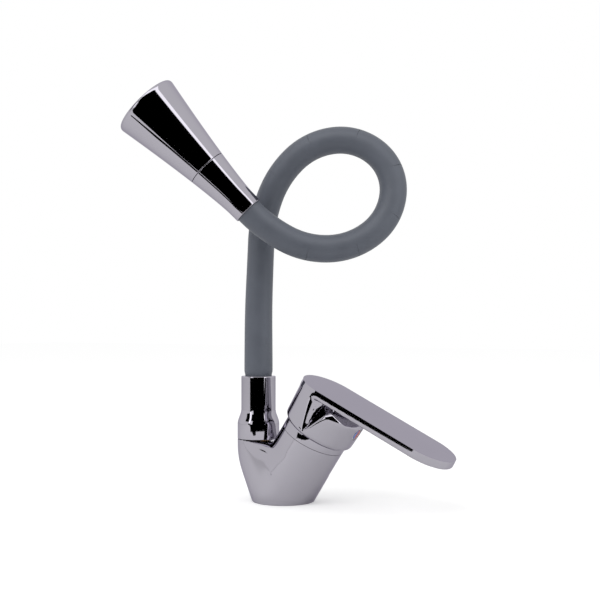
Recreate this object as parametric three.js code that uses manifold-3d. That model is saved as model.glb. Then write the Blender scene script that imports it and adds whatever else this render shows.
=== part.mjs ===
// Flexible kitchen faucet: a single-lever mixer with a V-shaped body, a tilted barrel for the
// cartridge and handle, and a bendable sleeved spout that ends in a cone-shaped spray head.
// Millimetres. The origin is the centre of the base on the deck, +Z is up and the lever points to +X.

import * as THREE from 'three';
import { mergeVertices } from 'three/addons/utils/BufferGeometryUtils.js';
import { ConvexGeometry } from 'three/addons/geometries/ConvexGeometry.js';
import Module from 'manifold-3d';

const wasm = await Module();
wasm.setup();

const degree = Math.PI / 180;

// Clearance between neighbouring pieces, how far a cut runs past the face it opens, and how near two
// corners lie that are one
const fit = 0.3;
const overrun = 2;
const weldDistance = 0.0001;

// Facets round a large turned piece, a small one, and the spout
const largeFacets = 36;
const smallFacets = 16;
const spoutFacets = 18;

// Body casting
const baseRadius = 23.8;
const baseEdge = 1.2;
const branchTop = 45;
const branchShoulderDrop = 4;
const spoutOffset = 22;
const webCornerHeight = 30.6;
const webCornerShare = 0.32;
const creaseFoot = 12;
const creaseTop = 43;
const creaseFootForward = 6.7;
const creaseTopForward = 3.4;
const creaseProud = 0.15;
const barrelWall = 4.2;
const barrelTilt = 33.4 * degree;
const barrelFootOffset = 6;
const barrelRimDrop = 0.1;
const barrelRimTilt = 5.1 * degree;

// Bores in the casting
const threadStep = 2.2;
const spoutBoreFloor = 14;
const inletOffsetX = 6;
const inletOffsetY = 8.5;
const inletSocketRadius = 5;
const inletSocketDepth = 12;
const channelRadius = 3;
const inletBackShare = 0.42;
const inletSideShare = 0.5;
const outletFrontShare = 0.62;
const studOffset = 12;
const studHoleRadius = 3.4;
const studHoleDepth = 10;

// Gasket under the base
const gasketOuterRadius = 21.2;
const gasketInnerRadius = 17.8;
const gasketThickness = 1.7;

// Cartridge. The handle turns and tilts about the pivot, and all that stands in the barrel is set from it.
const pivotHeight = 57.6;
const pivotAboveFloor = 24.1;
const housingRadius = 17.3;
const sealInset = 1.8;
const sealThickness = 1.2;
const cartridgeBaseThickness = 2.5;
const portRadius = 2.4;
const housingWaistStep = 2.3;
const housingWall = 4.3;
const housingLipInset = 2.4;
const housingShoulderHeight = 8.6;
const housingTopThickness = 2.4;
const fixedDiscThickness = 2.6;
const movingDiscInset = 2.7;
const movingDiscThickness = 2.4;
const movingDiscSetback = 2.3;
const carrierThickness = 4;
const rotorFlangeThickness = 4;
const rotorRise = 4;
const rotorSlotWidth = 6.6;
const rotorSlotBackShare = 0.54;
const rotorSlotFrontShare = 0.78;
const pivotPinRadius = 1.5;
const pivotPinShortfall = 1.2;
const stemWidth = 6;
const stemHeadWidth = 8;
const stemHeadRise = 8.4;
const stemEngagement = 3.5;
const stemBallRadius = 2.5;
const stemBallDrop = 11;
const stemNeckRadius = 2;
const stemShankDrop = 8.5;
const nutThickness = 7;

// Shroud ring between the casting and the handle
const shroudDomeRise = 1.1;
const shroudWall = 2;
const shroudSpigotWall = 2.2;
const shroudMouthInset = 0.2;

// Handle
const skirtRise = 7.4;
const skirtOverlap = 2;
const skirtChamfer = 1.6;
const handleCavityGap = 0.5;
const hubShoulderFlare = 0.8;
const hubShoulderRise = 19.5;
const hubRise = 28;
const hubTopRadius = 14;
const leverTilt = 7.2 * degree;
const leverRise = 32;
const leverThickness = 6.3;
const leverInset = 4.1;
const leverOverhang = 2.4;
const leverReach = 97.8;
const leverEdge = 1;
const neckFront = 1;
const grooveRadius = 7.3;
const grooveInset = 2.6;
const grooveFootForward = 0.7;
const grooveTopForward = 1.5;
const grooveRise = 26;
const bossRadius = 7.5;
const bossRise = 12;
const grubScrewRise = 15.7;
const grubScrewRadius = 2.3;
const grubScrewLength = 8;

// Hot and cold indicator
const plugRadius = 4.5;
const plugThickness = 2.6;
const plugSetback = 0.6;
const markRadius = 3.7;
const markDepth = 0.8;
const markThickness = 0.6;

// Spout collar and the joint under it
const collarLength = 47;
const collarFlareFootRise = 11;
const collarFlareLength = 11;
const collarTopWall = 2.7;
const collarFootFlare = 2.8;
const collarEdge = 0.8;
const collarWall = 2.1;
const collarBoreFoot = 16;
const glideRingThickness = 1;
const nippleFlangeThickness = 4;
const nippleStemRadius = 8;
const nippleShankStep = 1.1;
const nippleBarbWall = 0.7;
const nippleBarbLength = 16;
const lowerFerruleLength = 14.1;
const sealGrooveDepth = 2;
const sealGrooveHeight = 2.3;
const upperSealDrop = 9;
const lowerSealRise = 10.5;
const circlipThickness = 1.2;
const circlipRise = 3;
const circlipOverlap = 1.4;
const circlipGrip = 0.8;
const circlipOpening = 20 * degree;

// Flexible spout: links of equal length, with the bend of each in its plane, in degrees
const spoutLength = 406.9;
const sleeveRadius = 10;
const sleeveWall = 3.2;
const coreWall = 2;
const linkBends = [0, 2.3, 0.3, 17.5, 26.3, 38.8, 46.7, 52.8, 45.1, 36.2, 32, 17.8];
const spoutPlaneTurn = 30 * degree;
const spoutLean = 9.5 * degree;
const footFlare = 40 * degree;
const footRelief = 0.55;
const sleeveSeat = 16;
const ferruleLength = 12;
const sleeveEntry = 8;

// Spray head, along its own axis from the end where the hose goes in
const headLength = 107.4;
const headSeam = 42.8;
const headEntryWall = 0.8;
const headEntryEdge = 0.5;
const headNeckLength = 9;
const headNeckSwell = 0.2;
const headFlareShare = 1.25;
const headMouthRadius = 25.6;
const headMouthEdge = 2.6;
const headWall = 2.4;
const spigotLength = 7;
const spigotWall = 2;
const headNippleFlangeThickness = 5;
const headNippleShankLength = 9;
const headNippleShankInset = 3.3;
const headWasherThickness = 1.5;
const waterwayRadius = 7;
const waterwayFlangeThickness = 4;
const waterwayNoseFlare = 0.7;
const nozzleSetback = 2.8;
const nozzleThickness = 3.4;
const nozzleHoleRadius = 1.1;
const nozzleHoleCircleShare = 0.72;
const nozzleHoleCount = 12;
const selectorThickness = 2.6;
const selectorHoleCount = 3;
const selectorHoleRadius = 2.2;
const aeratorDepth = 12;
const aeratorWall = 2;

// Radii about the barrel's axis, from the cartridge out to the handle
const chamberRadius = housingRadius + fit;
const threadRadius = chamberRadius + threadStep;
const barrelRadius = threadRadius + barrelWall;
const sealRadius = housingRadius - sealInset;
const cartridgeBaseRadius = housingRadius - fit;
const housingWaistRadius = housingRadius - housingWaistStep;
const housingBoreRadius = housingRadius - housingWall;
const housingMouthRadius = housingBoreRadius - housingLipInset;
const movingDiscRadius = housingBoreRadius - movingDiscInset;
const inletPortX = -housingBoreRadius * inletBackShare;
const inletPortY = housingBoreRadius * inletSideShare;
const outletPortX = housingBoreRadius * outletFrontShare;
const rotorNeckRadius = housingMouthRadius - fit;
const rotorSlotBack = rotorNeckRadius * rotorSlotBackShare;
const rotorSlotFront = rotorNeckRadius * rotorSlotFrontShare;
const shroudDomeRadius = barrelRadius + shroudDomeRise;
const shroudSpigotBore = threadRadius - fit - shroudSpigotWall;
const shroudMouthRadius = shroudSpigotBore + shroudMouthInset;
const skirtRadius = shroudDomeRadius + skirtOverlap;
const hubShoulderRadius = skirtRadius + hubShoulderFlare;
const leverHalfWidth = skirtRadius - leverInset;
const leverBack = skirtRadius + leverOverhang;
const grooveOutset = skirtRadius - grooveInset;

// Radii of the spout, from the sleeve in to the waterway and out to the collar and the head
const sleeveBore = sleeveRadius - sleeveWall;
const coreRadius = sleeveBore - fit;
const coreBore = coreRadius - coreWall;
const nippleBarbRadius = coreBore - fit;
const nippleBore = nippleBarbRadius - nippleBarbWall;
const nippleShankRadius = sleeveRadius - nippleShankStep;
const collarRadius = sleeveRadius + fit + collarTopWall;
const branchRadius = collarRadius + collarFootFlare;
const spoutBoreRadius = nippleStemRadius + fit;
const sealGrooveFloor = nippleStemRadius - sealGrooveDepth;
const circlipOuterRadius = nippleStemRadius + circlipOverlap;
const circlipInnerRadius = nippleStemRadius - circlipGrip;
const headEntryRadius = sleeveRadius + fit + headEntryWall;
const headNeckRadius = headEntryRadius + headNeckSwell;
const neckBore = headNeckRadius - fit;
const spigotRadius = neckBore + spigotWall;
const waterwayFlangeRadius = neckBore - fit;
const waterwayNoseRadius = waterwayFlangeRadius + waterwayNoseFlare;
const headNippleShankRadius = waterwayFlangeRadius - headNippleShankInset;

// Heights in the spout's joint
const branchShoulder = branchTop - branchShoulderDrop;
const upperSealHeight = branchTop - upperSealDrop;
const lowerSealHeight = spoutBoreFloor + lowerSealRise;
const circlipHeight = spoutBoreFloor + circlipRise;

// Finishes
const chrome = { color: 0xb4b2ba, roughness: 0.08, metalness: 1 };
const brass = { color: 0xb08d4f, roughness: 0.35, metalness: 1 };
const steel = { color: 0x9a9a9c, roughness: 0.3, metalness: 1 };
const silicone = { color: 0x525760, roughness: 0.6, metalness: 0 };
const rubber = { color: 0x1c1c1e, roughness: 0.8, metalness: 0 };
const ceramic = { color: 0xe9e6df, roughness: 0.25, metalness: 0 };
const whitePlastic = { color: 0xdedede, roughness: 0.45, metalness: 0 };
const greyPlastic = { color: 0x6e7177, roughness: 0.5, metalness: 0 };
const redPlastic = { color: 0xb3262b, roughness: 0.35, metalness: 0 };
const bluePlastic = { color: 0x2a56a8, roughness: 0.35, metalness: 0 };

// A closed solid from a geometry, with its faces pointing out
function solid(geometry) {
  const bare = geometry.index ? geometry.toNonIndexed() : geometry.clone();
  for (const name of Object.keys(bare.attributes)) {
    if (name !== 'position') bare.deleteAttribute(name);
  }
  const merged = mergeVertices(bare, weldDistance);
  const place = merged.attributes.position.array;
  const index = merged.index.array;
  const faces = [];
  let volume = 0;
  for (let i = 0; i < index.length; i += 3) {
    const [a, b, c] = [index[i], index[i + 1], index[i + 2]];
    if (a === b || b === c || c === a) continue;
    faces.push(a, b, c);
    const [p, q, r] = [a, b, c].map((k) => new THREE.Vector3().fromArray(place, 3 * k));
    volume += p.dot(q.cross(r));
  }
  if (volume < 0) faces.reverse();
  return new wasm.Manifold(new wasm.Mesh({
    numProp: 3, vertProperties: Float32Array.from(place), triVerts: Uint32Array.from(faces),
  }));
}

// The surface of a solid
function surface(manifold) {
  const mesh = manifold.getMesh();
  const geometry = new THREE.BufferGeometry();
  geometry.setAttribute('position', new THREE.BufferAttribute(Float32Array.from(mesh.vertProperties), 3));
  geometry.setIndex(new THREE.BufferAttribute(Uint32Array.from(mesh.triVerts), 1));
  geometry.computeVertexNormals();
  return geometry;
}

// A solid turned about Z from [radius, height] pairs that start and end on the axis, or close on themselves
function turned(profile, facets = smallFacets) {
  const points = profile.map(([radius, height]) => new THREE.Vector2(radius, height));
  return solid(new THREE.LatheGeometry(points, facets).rotateX(Math.PI / 2));
}

// A plain turned rod, and a plain turned tube, from one height to another
function rod(radius, foot, top, facets = smallFacets) {
  return turned([[0, foot], [radius, foot], [radius, top], [0, top]], facets);
}

function tube(inner, outer, foot, top, facets = smallFacets) {
  return turned([[inner, foot], [outer, foot], [outer, top], [inner, top], [inner, foot]], facets);
}

function ball(radius, height, facets = smallFacets) {
  return solid(new THREE.SphereGeometry(radius, facets, facets / 2).rotateX(Math.PI / 2)
    .translate(0, 0, height));
}

// A plate with a flat outline, from one height to another
function plate(shape, foot, top, facets = smallFacets) {
  const settings = { depth: top - foot, bevelEnabled: false, curveSegments: facets / 2 };
  return solid(new THREE.ExtrudeGeometry(shape, settings).translate(0, 0, foot));
}

function block(lengthX, widthY, foot, top, centreX = 0) {
  return solid(new THREE.BoxGeometry(lengthX, widthY, top - foot).translate(centreX, 0, (foot + top) / 2));
}

// A solid moved to its place
function placed(manifold, matrix) {
  return manifold.transform(matrix.elements);
}

const shift = (x, y, z) => new THREE.Matrix4().makeTranslation(x, y, z);

// One named sub-part
function part(name, shape, finish) {
  const mesh = new THREE.Mesh(surface(shape), new THREE.MeshStandardMaterial(finish));
  mesh.name = name;
  return mesh;
}

const faucet = new THREE.Group();

// The barrel's own frame: Z runs up its axis and X leans forward and down, in the plane of symmetry
const barrel = new THREE.Group();
barrel.position.set(-barrelFootOffset, 0, 0);
barrel.rotation.set(0, barrelTilt, 0);
barrel.updateMatrix();
faucet.add(barrel);
const fromBarrel = barrel.matrix;

// Heights along the barrel's axis that other pieces share
const barrelRimHeight = pivotHeight - barrelRimDrop;
const chamberFloor = pivotHeight - pivotAboveFloor;
const skirtFoot = pivotHeight + skirtRise;
const hubShoulderHeight = skirtFoot + hubShoulderRise;
const hubTop = skirtFoot + hubRise;
const leverTop = skirtFoot + leverRise;
const grooveTop = skirtFoot + grooveRise;
const bossFoot = skirtFoot + bossRise;
const grubScrewHeight = skirtFoot + grubScrewRise;
const stemTop = grubScrewHeight + stemEngagement;

// Everything above the plane where the casting ends and the shroud ring begins, in the barrel's frame
function aboveRim(lift) {
  const side = 2 * (barrelRadius + skirtRadius);
  const box = new THREE.BoxGeometry(side, side, side).translate(0, 0, side / 2);
  return solid(box.rotateY(-barrelRimTilt).translate(0, 0, barrelRimHeight + lift));
}

// A ring of points of a circle, square to the axis of a frame
function circlePoints(radius, height, matrix, facets = largeFacets) {
  const points = [];
  for (let i = 0; i < facets; i += 1) {
    const turn = (2 * Math.PI * i) / facets;
    points.push(new THREE.Vector3(radius * Math.cos(turn), radius * Math.sin(turn), height)
      .applyMatrix4(matrix));
  }
  return points;
}

// Casting: the web between base, spout branch and barrel is one convex form, and the barrel stands out of it
const housingFoot = chamberFloor + 3 * fit + sealThickness + cartridgeBaseThickness;
const housingShoulder = housingFoot + housingShoulderHeight;
const nutFoot = housingShoulder + fit;

function castingWeb() {
  const points = [
    ...circlePoints(baseRadius - baseEdge, 0, shift(0, 0, 0)),
    ...circlePoints(baseRadius, baseEdge, shift(0, 0, 0)),
    ...circlePoints(branchRadius, branchTop, shift(-spoutOffset, 0, 0)),
  ];
  // The back tapers straight up from the base and rounds over into the branch
  const taperTop = webCornerHeight - (webCornerHeight - baseEdge) * webCornerShare;
  const steps = 6;
  for (let i = 0; i <= steps; i += 1) {
    const share = i / steps;
    const rest = 1 - share;
    const height = taperTop * rest ** 2 + 2 * webCornerHeight * share * rest + branchShoulder * share ** 2;
    const spread = webCornerShare * rest ** 2;
    const back = -(spoutOffset + branchRadius) + (spoutOffset + branchRadius - baseRadius) * spread;
    const radius = branchRadius + (baseRadius - branchRadius) * spread;
    points.push(...circlePoints(radius, height, shift(back + radius, 0, 0)));
  }
  // A faint crease runs up each side, almost in line with the barrel
  for (const side of [1, -1]) {
    const out = side * (barrelRadius + creaseProud);
    points.push(new THREE.Vector3(creaseFootForward, out, creaseFoot).applyMatrix4(fromBarrel));
    points.push(new THREE.Vector3(creaseTopForward, out, creaseTop).applyMatrix4(fromBarrel));
  }
  const backLift = barrelRadius * Math.sin(barrelTilt);
  points.push(...circlePoints(barrelRadius, (branchTop - backLift) / Math.cos(barrelTilt), fromBarrel));
  return solid(new ConvexGeometry(points));
}

// A drilled passage from one point to another
function drilled(from, to) {
  const along = to.clone().sub(from);
  const aim = new THREE.Matrix4().makeRotationFromQuaternion(
    new THREE.Quaternion().setFromUnitVectors(new THREE.Vector3(0, 0, 1), along.clone().normalize()));
  return placed(rod(channelRadius, 0, along.length()), aim.setPosition(from));
}

function floorPort(x, y) {
  return new THREE.Vector3(x, y, chamberFloor + fit).applyMatrix4(fromBarrel);
}

function inletCutter(side) {
  const socket = placed(rod(inletSocketRadius, -overrun, inletSocketDepth),
    shift(inletOffsetX, side * inletOffsetY, 0));
  const start = new THREE.Vector3(inletOffsetX, side * inletOffsetY, inletSocketDepth - overrun);
  return socket.add(drilled(start, floorPort(inletPortX, side * inletPortY)));
}

function casting() {
  const foot = branchTop * Math.cos(barrelTilt) - barrelRadius * Math.sin(barrelTilt);
  const top = barrelRimHeight + skirtRadius;
  const tubePart = rod(barrelRadius, foot, top, largeFacets).subtract(aboveRim(0));
  const chamber = turned([
    [0, chamberFloor], [chamberRadius, chamberFloor], [chamberRadius, nutFoot - fit],
    [threadRadius, nutFoot - fit], [threadRadius, top], [0, top],
  ], largeFacets);
  const outlet = new THREE.Vector3(-spoutOffset, 0, spoutBoreFloor + channelRadius);
  const channel = drilled(floorPort(outletPortX, 0), outlet);
  const clipRoom = circlipOuterRadius + fit;
  const spoutBore = turned([
    [0, spoutBoreFloor], [spoutBoreRadius, spoutBoreFloor], [spoutBoreRadius, circlipHeight - fit],
    [clipRoom, circlipHeight - fit], [clipRoom, circlipHeight + circlipThickness + fit],
    [spoutBoreRadius, circlipHeight + circlipThickness + fit], [spoutBoreRadius, branchTop + overrun],
    [0, branchTop + overrun],
  ]);
  const gasketGroove = tube(gasketInnerRadius - fit, gasketOuterRadius + fit, -overrun, gasketThickness + fit,
    largeFacets);
  const studHole = rod(studHoleRadius, -overrun, studHoleDepth);
  return castingWeb()
    .add(placed(tubePart, fromBarrel))
    .subtract(placed(chamber, fromBarrel))
    .subtract(channel)
    .subtract(placed(spoutBore, shift(-spoutOffset, 0, 0)))
    .subtract(gasketGroove)
    .subtract(placed(studHole, shift(-studOffset, 0, 0)))
    .subtract(inletCutter(1))
    .subtract(inletCutter(-1));
}

faucet.add(part('body_casting', casting(), chrome));
faucet.add(part('base_gasket',
  tube(gasketInnerRadius, gasketOuterRadius, 0, gasketThickness, largeFacets), rubber));

// Cartridge, piece on piece up from the chamber's floor. Ports: two inlets and one outlet.
function portedDisc(radius, foot, thickness) {
  const shape = new THREE.Shape().absarc(0, 0, radius, 0, 2 * Math.PI);
  const ports = [[inletPortX, inletPortY], [inletPortX, -inletPortY], [outletPortX, 0]];
  for (const [x, y] of ports) {
    shape.holes.push(new THREE.Path().absarc(x, y, portRadius, 0, 2 * Math.PI, true));
  }
  return plate(shape, foot, foot + thickness);
}

const sealFoot = chamberFloor + fit;
const cartridgeBaseFoot = sealFoot + sealThickness + fit;
const movingDiscFoot = housingFoot + fixedDiscThickness + fit;
const carrierFoot = movingDiscFoot + movingDiscThickness + fit;
const rotorFoot = carrierFoot + carrierThickness + fit;
const housingCeiling = rotorFoot + rotorFlangeThickness + fit;
const housingTop = housingCeiling + housingTopThickness;
const nutTop = nutFoot + nutThickness;
const ballHeight = pivotHeight - stemBallDrop;

barrel.add(part('cartridge_seal', portedDisc(sealRadius, sealFoot, sealThickness), rubber));
barrel.add(part('cartridge_base',
  portedDisc(cartridgeBaseRadius, cartridgeBaseFoot, cartridgeBaseThickness), whitePlastic));
barrel.add(part('fixed_disc',
  portedDisc(housingBoreRadius - fit, housingFoot, fixedDiscThickness), ceramic));

const housing = turned([
  [housingBoreRadius, housingFoot], [housingRadius, housingFoot], [housingRadius, housingShoulder],
  [housingWaistRadius, housingShoulder], [housingWaistRadius, housingTop], [housingMouthRadius, housingTop],
  [housingMouthRadius, housingCeiling], [housingBoreRadius, housingCeiling], [housingBoreRadius, housingFoot],
]);
barrel.add(part('cartridge_housing', housing, whitePlastic));

const movingDisc = rod(movingDiscRadius, movingDiscFoot, movingDiscFoot + movingDiscThickness)
  .subtract(placed(rod(portRadius, movingDiscFoot - overrun, movingDiscFoot + movingDiscThickness / 2),
    shift(outletPortX / 2, 0, 0)));
barrel.add(part('moving_disc', placed(movingDisc, shift(-movingDiscSetback, 0, 0)), ceramic));

const carrier = placed(rod(movingDiscRadius, carrierFoot, carrierFoot + carrierThickness),
  shift(-movingDiscSetback, 0, 0))
  .subtract(rod(stemBallRadius + fit, carrierFoot - overrun, carrierFoot + carrierThickness + overrun));
barrel.add(part('disc_carrier', carrier, greyPlastic));

const rotorTop = pivotHeight + rotorRise;
const pinBore = placed(rod(pivotPinRadius + fit, -housingRadius, housingRadius),
  new THREE.Matrix4().makeRotationX(Math.PI / 2).setPosition(0, 0, pivotHeight));
const rotor = turned([
  [0, rotorFoot], [housingBoreRadius - fit, rotorFoot],
  [housingBoreRadius - fit, rotorFoot + rotorFlangeThickness],
  [rotorNeckRadius, rotorFoot + rotorFlangeThickness], [rotorNeckRadius, rotorTop], [0, rotorTop],
])
  .subtract(block(rotorSlotBack + rotorSlotFront, rotorSlotWidth, rotorFoot - overrun, rotorTop + overrun,
    (rotorSlotFront - rotorSlotBack) / 2))
  .subtract(pinBore);
barrel.add(part('rotor', rotor, greyPlastic));

const pinLength = rotorNeckRadius - pivotPinShortfall;
barrel.add(part('pivot_pin', placed(rod(pivotPinRadius, -pinLength, pinLength),
  new THREE.Matrix4().makeRotationX(Math.PI / 2).setPosition(0, 0, pivotHeight)), steel));

const stem = block(stemWidth, stemWidth, pivotHeight - stemShankDrop, pivotHeight + stemHeadRise)
  .add(rod(stemNeckRadius, ballHeight, pivotHeight))
  .add(block(stemHeadWidth, stemHeadWidth, pivotHeight + stemHeadRise, stemTop))
  .add(ball(stemBallRadius, ballHeight, smallFacets))
  .subtract(pinBore);
barrel.add(part('stem', stem, brass));

barrel.add(part('cartridge_nut',
  tube(housingWaistRadius + fit, threadRadius - fit, nutFoot, nutTop, largeFacets), brass));

// Shroud ring: fills the wedge between the casting's rim and the handle, and domes in over the cartridge
function domeHeight(sphere, radius) {
  return pivotHeight + Math.sqrt(sphere ** 2 - radius ** 2);
}

function domeProfile(sphere, fromRadius, toRadius, steps) {
  const points = [];
  for (let i = 0; i <= steps; i += 1) {
    const radius = fromRadius + ((toRadius - fromRadius) * i) / steps;
    points.push([radius, domeHeight(sphere, radius)]);
  }
  return points;
}

const shroudFoot = nutTop + fit;
const shroudBore = threadRadius + fit;
const shroud = turned([
  [shroudSpigotBore, shroudFoot - overrun], [barrelRadius, shroudFoot - overrun],
  ...domeProfile(shroudDomeRadius, barrelRadius, shroudMouthRadius, 4),
  ...domeProfile(shroudDomeRadius - shroudWall, shroudMouthRadius, shroudBore, 2),
  [shroudSpigotBore, pivotHeight + shroudWall], [shroudSpigotBore, shroudFoot - overrun],
], largeFacets);
const shroudSpigot = rod(threadRadius - fit, shroudFoot, shroudFoot + barrelRadius, largeFacets);
barrel.add(part('shroud_ring', shroud.intersect(aboveRim(fit).add(shroudSpigot)), chrome));

// Handle: a domed hub over the shroud, a neck at its back, and the flat lever that the neck carries
function leverOutline(halfWidth, back, reach) {
  const shape = new THREE.Shape();
  shape.moveTo(-back + halfWidth, -halfWidth);
  shape.lineTo(reach - halfWidth, -halfWidth);
  shape.absarc(reach - halfWidth, 0, halfWidth, -Math.PI / 2, Math.PI / 2);
  shape.lineTo(-back + halfWidth, halfWidth);
  shape.absarc(-back + halfWidth, 0, halfWidth, Math.PI / 2, 1.5 * Math.PI);
  return shape;
}

// The lever's own frame: its top face is the plane Z = 0
const leverFrame = new THREE.Matrix4().makeRotationY(-leverTilt).setPosition(0, 0, leverTop);

function lever() {
  const inset = leverEdge;
  const shape = leverOutline(leverHalfWidth - inset, leverBack - inset, leverReach - inset);
  const slab = new THREE.ExtrudeGeometry(shape, {
    depth: leverThickness - 2 * inset, bevelEnabled: true, bevelThickness: inset, bevelSize: inset,
    bevelSegments: 2, curveSegments: smallFacets / 2,
  });
  return placed(solid(slab.translate(0, 0, inset - leverThickness)), leverFrame);
}

function neck() {
  const points = [];
  const steps = smallFacets;
  const foot = skirtFoot + skirtChamfer;
  for (let i = 0; i <= steps; i += 1) {
    const turn = Math.PI / 2 + (Math.PI * i) / steps;
    points.push(new THREE.Vector3(leverHalfWidth * (Math.cos(turn) + 1) - leverBack,
      leverHalfWidth * Math.sin(turn), -leverThickness / 2).applyMatrix4(leverFrame));
    points.push(new THREE.Vector3(skirtRadius * Math.cos(turn), skirtRadius * Math.sin(turn), foot));
  }
  for (const side of [1, -1]) {
    points.push(new THREE.Vector3(neckFront, side * leverHalfWidth, -leverThickness / 2)
      .applyMatrix4(leverFrame));
    points.push(new THREE.Vector3(neckFront, side * skirtRadius, foot));
  }
  return solid(new ConvexGeometry(points));
}

// A groove on each side, pointed at the skirt and widest under the lever, parts the neck from the hub
function groove(side) {
  const foot = new THREE.Vector3(grooveFootForward, side * (skirtRadius + fit), skirtFoot + skirtChamfer);
  const top = new THREE.Vector3(grooveTopForward, side * grooveOutset, grooveTop);
  const along = top.clone().sub(foot);
  const aim = new THREE.Matrix4().makeRotationFromQuaternion(
    new THREE.Quaternion().setFromUnitVectors(new THREE.Vector3(0, 0, 1), along.clone().normalize()));
  return placed(turned([[0, 0], [grooveRadius, along.length()], [0, along.length()]]), aim.setPosition(foot));
}

function hub() {
  const profile = [
    [0, skirtFoot], [skirtRadius - skirtChamfer, skirtFoot], [skirtRadius, skirtFoot + skirtChamfer],
    [hubShoulderRadius, hubShoulderHeight],
  ];
  const steps = 5;
  for (let i = 1; i <= steps; i += 1) {
    const turn = (Math.PI / 2) * (i / steps);
    profile.push([
      hubTopRadius + (hubShoulderRadius - hubTopRadius) * Math.cos(turn),
      hubShoulderHeight + (hubTop - hubShoulderHeight) * Math.sin(turn),
    ]);
  }
  profile.push([0, hubTop]);
  const back = block(skirtRadius + hubTop, 2 * (skirtRadius + hubTop), skirtFoot + skirtChamfer, leverTop,
    -(skirtRadius + hubTop) / 2);
  return turned(profile, largeFacets).subtract(back);
}

const handleCavityRadius = shroudDomeRadius + handleCavityGap;
const plugFace = hubShoulderRadius + (skirtRadius - hubShoulderRadius)
  * ((hubShoulderHeight - grubScrewHeight) / (hubShoulderHeight - skirtFoot)) - plugSetback;
const plugSeat = plugFace - plugThickness;
const screwFoot = stemHeadWidth / 2 + fit;
const forward = new THREE.Matrix4().makeRotationY(Math.PI / 2).setPosition(0, 0, grubScrewHeight);

function handle() {
  const socketWidth = stemHeadWidth + 2 * fit;
  const stemSocket = block(socketWidth, socketWidth, bossFoot - overrun, stemTop + fit);
  const screwHole = placed(rod(grubScrewRadius + fit, 0, skirtRadius), forward);
  const plugHole = placed(rod(plugRadius + fit, plugSeat - fit, skirtRadius + overrun), forward);
  return hub().add(neck())
    .subtract(groove(1))
    .subtract(groove(-1))
    .add(lever())
    .subtract(ball(handleCavityRadius, pivotHeight, largeFacets))
    .add(rod(bossRadius, bossFoot, hubTop - leverThickness / 2))
    .subtract(stemSocket)
    .subtract(screwHole)
    .subtract(plugHole);
}

barrel.add(part('handle', handle(), chrome));
barrel.add(part('grub_screw',
  placed(rod(grubScrewRadius, screwFoot, screwFoot + grubScrewLength), forward), steel));

// Indicator plug in the handle's front, with a hot and a cold mark let into its face
const plugBody = placed(rod(plugRadius, plugSeat, plugFace).subtract(
  rod(markRadius + fit, plugFace - markDepth, plugFace + overrun)), forward);
barrel.add(part('indicator_plug', plugBody, whitePlastic));

function mark(side) {
  const half = new THREE.Shape().absarc(0, 0, markRadius, 0, Math.PI);
  const foot = plugFace - markDepth + fit;
  const turnSide = new THREE.Matrix4().makeRotationZ(side < 0 ? Math.PI : 0);
  const slice = placed(plate(half, foot, foot + markThickness), shift(0, fit / 2, 0));
  return placed(placed(slice, turnSide), forward);
}

barrel.add(part('indicator_red', mark(1), redPlastic));
barrel.add(part('indicator_blue', mark(-1), bluePlastic));

// Spout joint: the nipple turns in the casting's bore on two O-rings, and the collar turns with it
const spoutBase = new THREE.Group();
spoutBase.position.set(-spoutOffset, 0, 0);
faucet.add(spoutBase);

const collarFoot = branchTop + fit;
const collarTop = collarFoot + collarLength;
const glideFoot = branchTop + fit;
const flangeFoot = glideFoot + glideRingThickness + fit;
const flangeTop = flangeFoot + nippleFlangeThickness;
const shankTop = collarTop - sleeveSeat - 2 * fit - lowerFerruleLength;
const collarBore = branchRadius - collarWall;
const flareFoot = collarFoot + collarFlareFootRise;
const flareTop = flareFoot + collarFlareLength;

function flareProfile(steps) {
  const points = [];
  for (let i = 0; i <= steps; i += 1) {
    const share = i / steps;
    const ease = share * share * (3 - 2 * share);
    points.push([
      branchRadius + (collarRadius - branchRadius) * ease, flareFoot + (flareTop - flareFoot) * share,
    ]);
  }
  return points;
}

const collar = turned([
  [collarBore, collarFoot], [branchRadius, collarFoot], ...flareProfile(6),
  [collarRadius, collarTop - collarEdge], [collarRadius - collarEdge, collarTop],
  [sleeveRadius + fit, collarTop], [sleeveRadius + fit, collarFoot + collarBoreFoot],
  [collarBore, collarFoot + collarBoreFoot - overrun], [collarBore, collarFoot],
], largeFacets);
spoutBase.add(part('spout_collar', collar, chrome));
spoutBase.add(part('glide_ring',
  tube(spoutBoreRadius + fit, collarBore - fit, glideFoot, glideFoot + glideRingThickness), whitePlastic));

function grooved(height) {
  return [
    [nippleStemRadius, height - sealGrooveHeight / 2], [sealGrooveFloor, height - sealGrooveHeight / 2],
    [sealGrooveFloor, height + sealGrooveHeight / 2], [nippleStemRadius, height + sealGrooveHeight / 2],
  ];
}

const nippleFoot = spoutBoreFloor + fit;
const clipFloor = circlipInnerRadius - fit;
const nipple = turned([
  [nippleBore, nippleFoot], [nippleStemRadius, nippleFoot],
  [nippleStemRadius, circlipHeight - fit], [clipFloor, circlipHeight - fit],
  [clipFloor, circlipHeight + circlipThickness + fit],
  [nippleStemRadius, circlipHeight + circlipThickness + fit],
  ...grooved(lowerSealHeight), ...grooved(upperSealHeight),
  [nippleStemRadius, flangeFoot], [collarBore - fit, flangeFoot], [collarBore - fit, flangeTop],
  [nippleShankRadius, flangeTop], [nippleShankRadius, shankTop], [nippleBarbRadius, shankTop],
  [nippleBarbRadius, shankTop + nippleBarbLength], [nippleBore, shankTop + nippleBarbLength],
  [nippleBore, nippleFoot],
]);
spoutBase.add(part('spout_nipple', nipple, brass));

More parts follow.
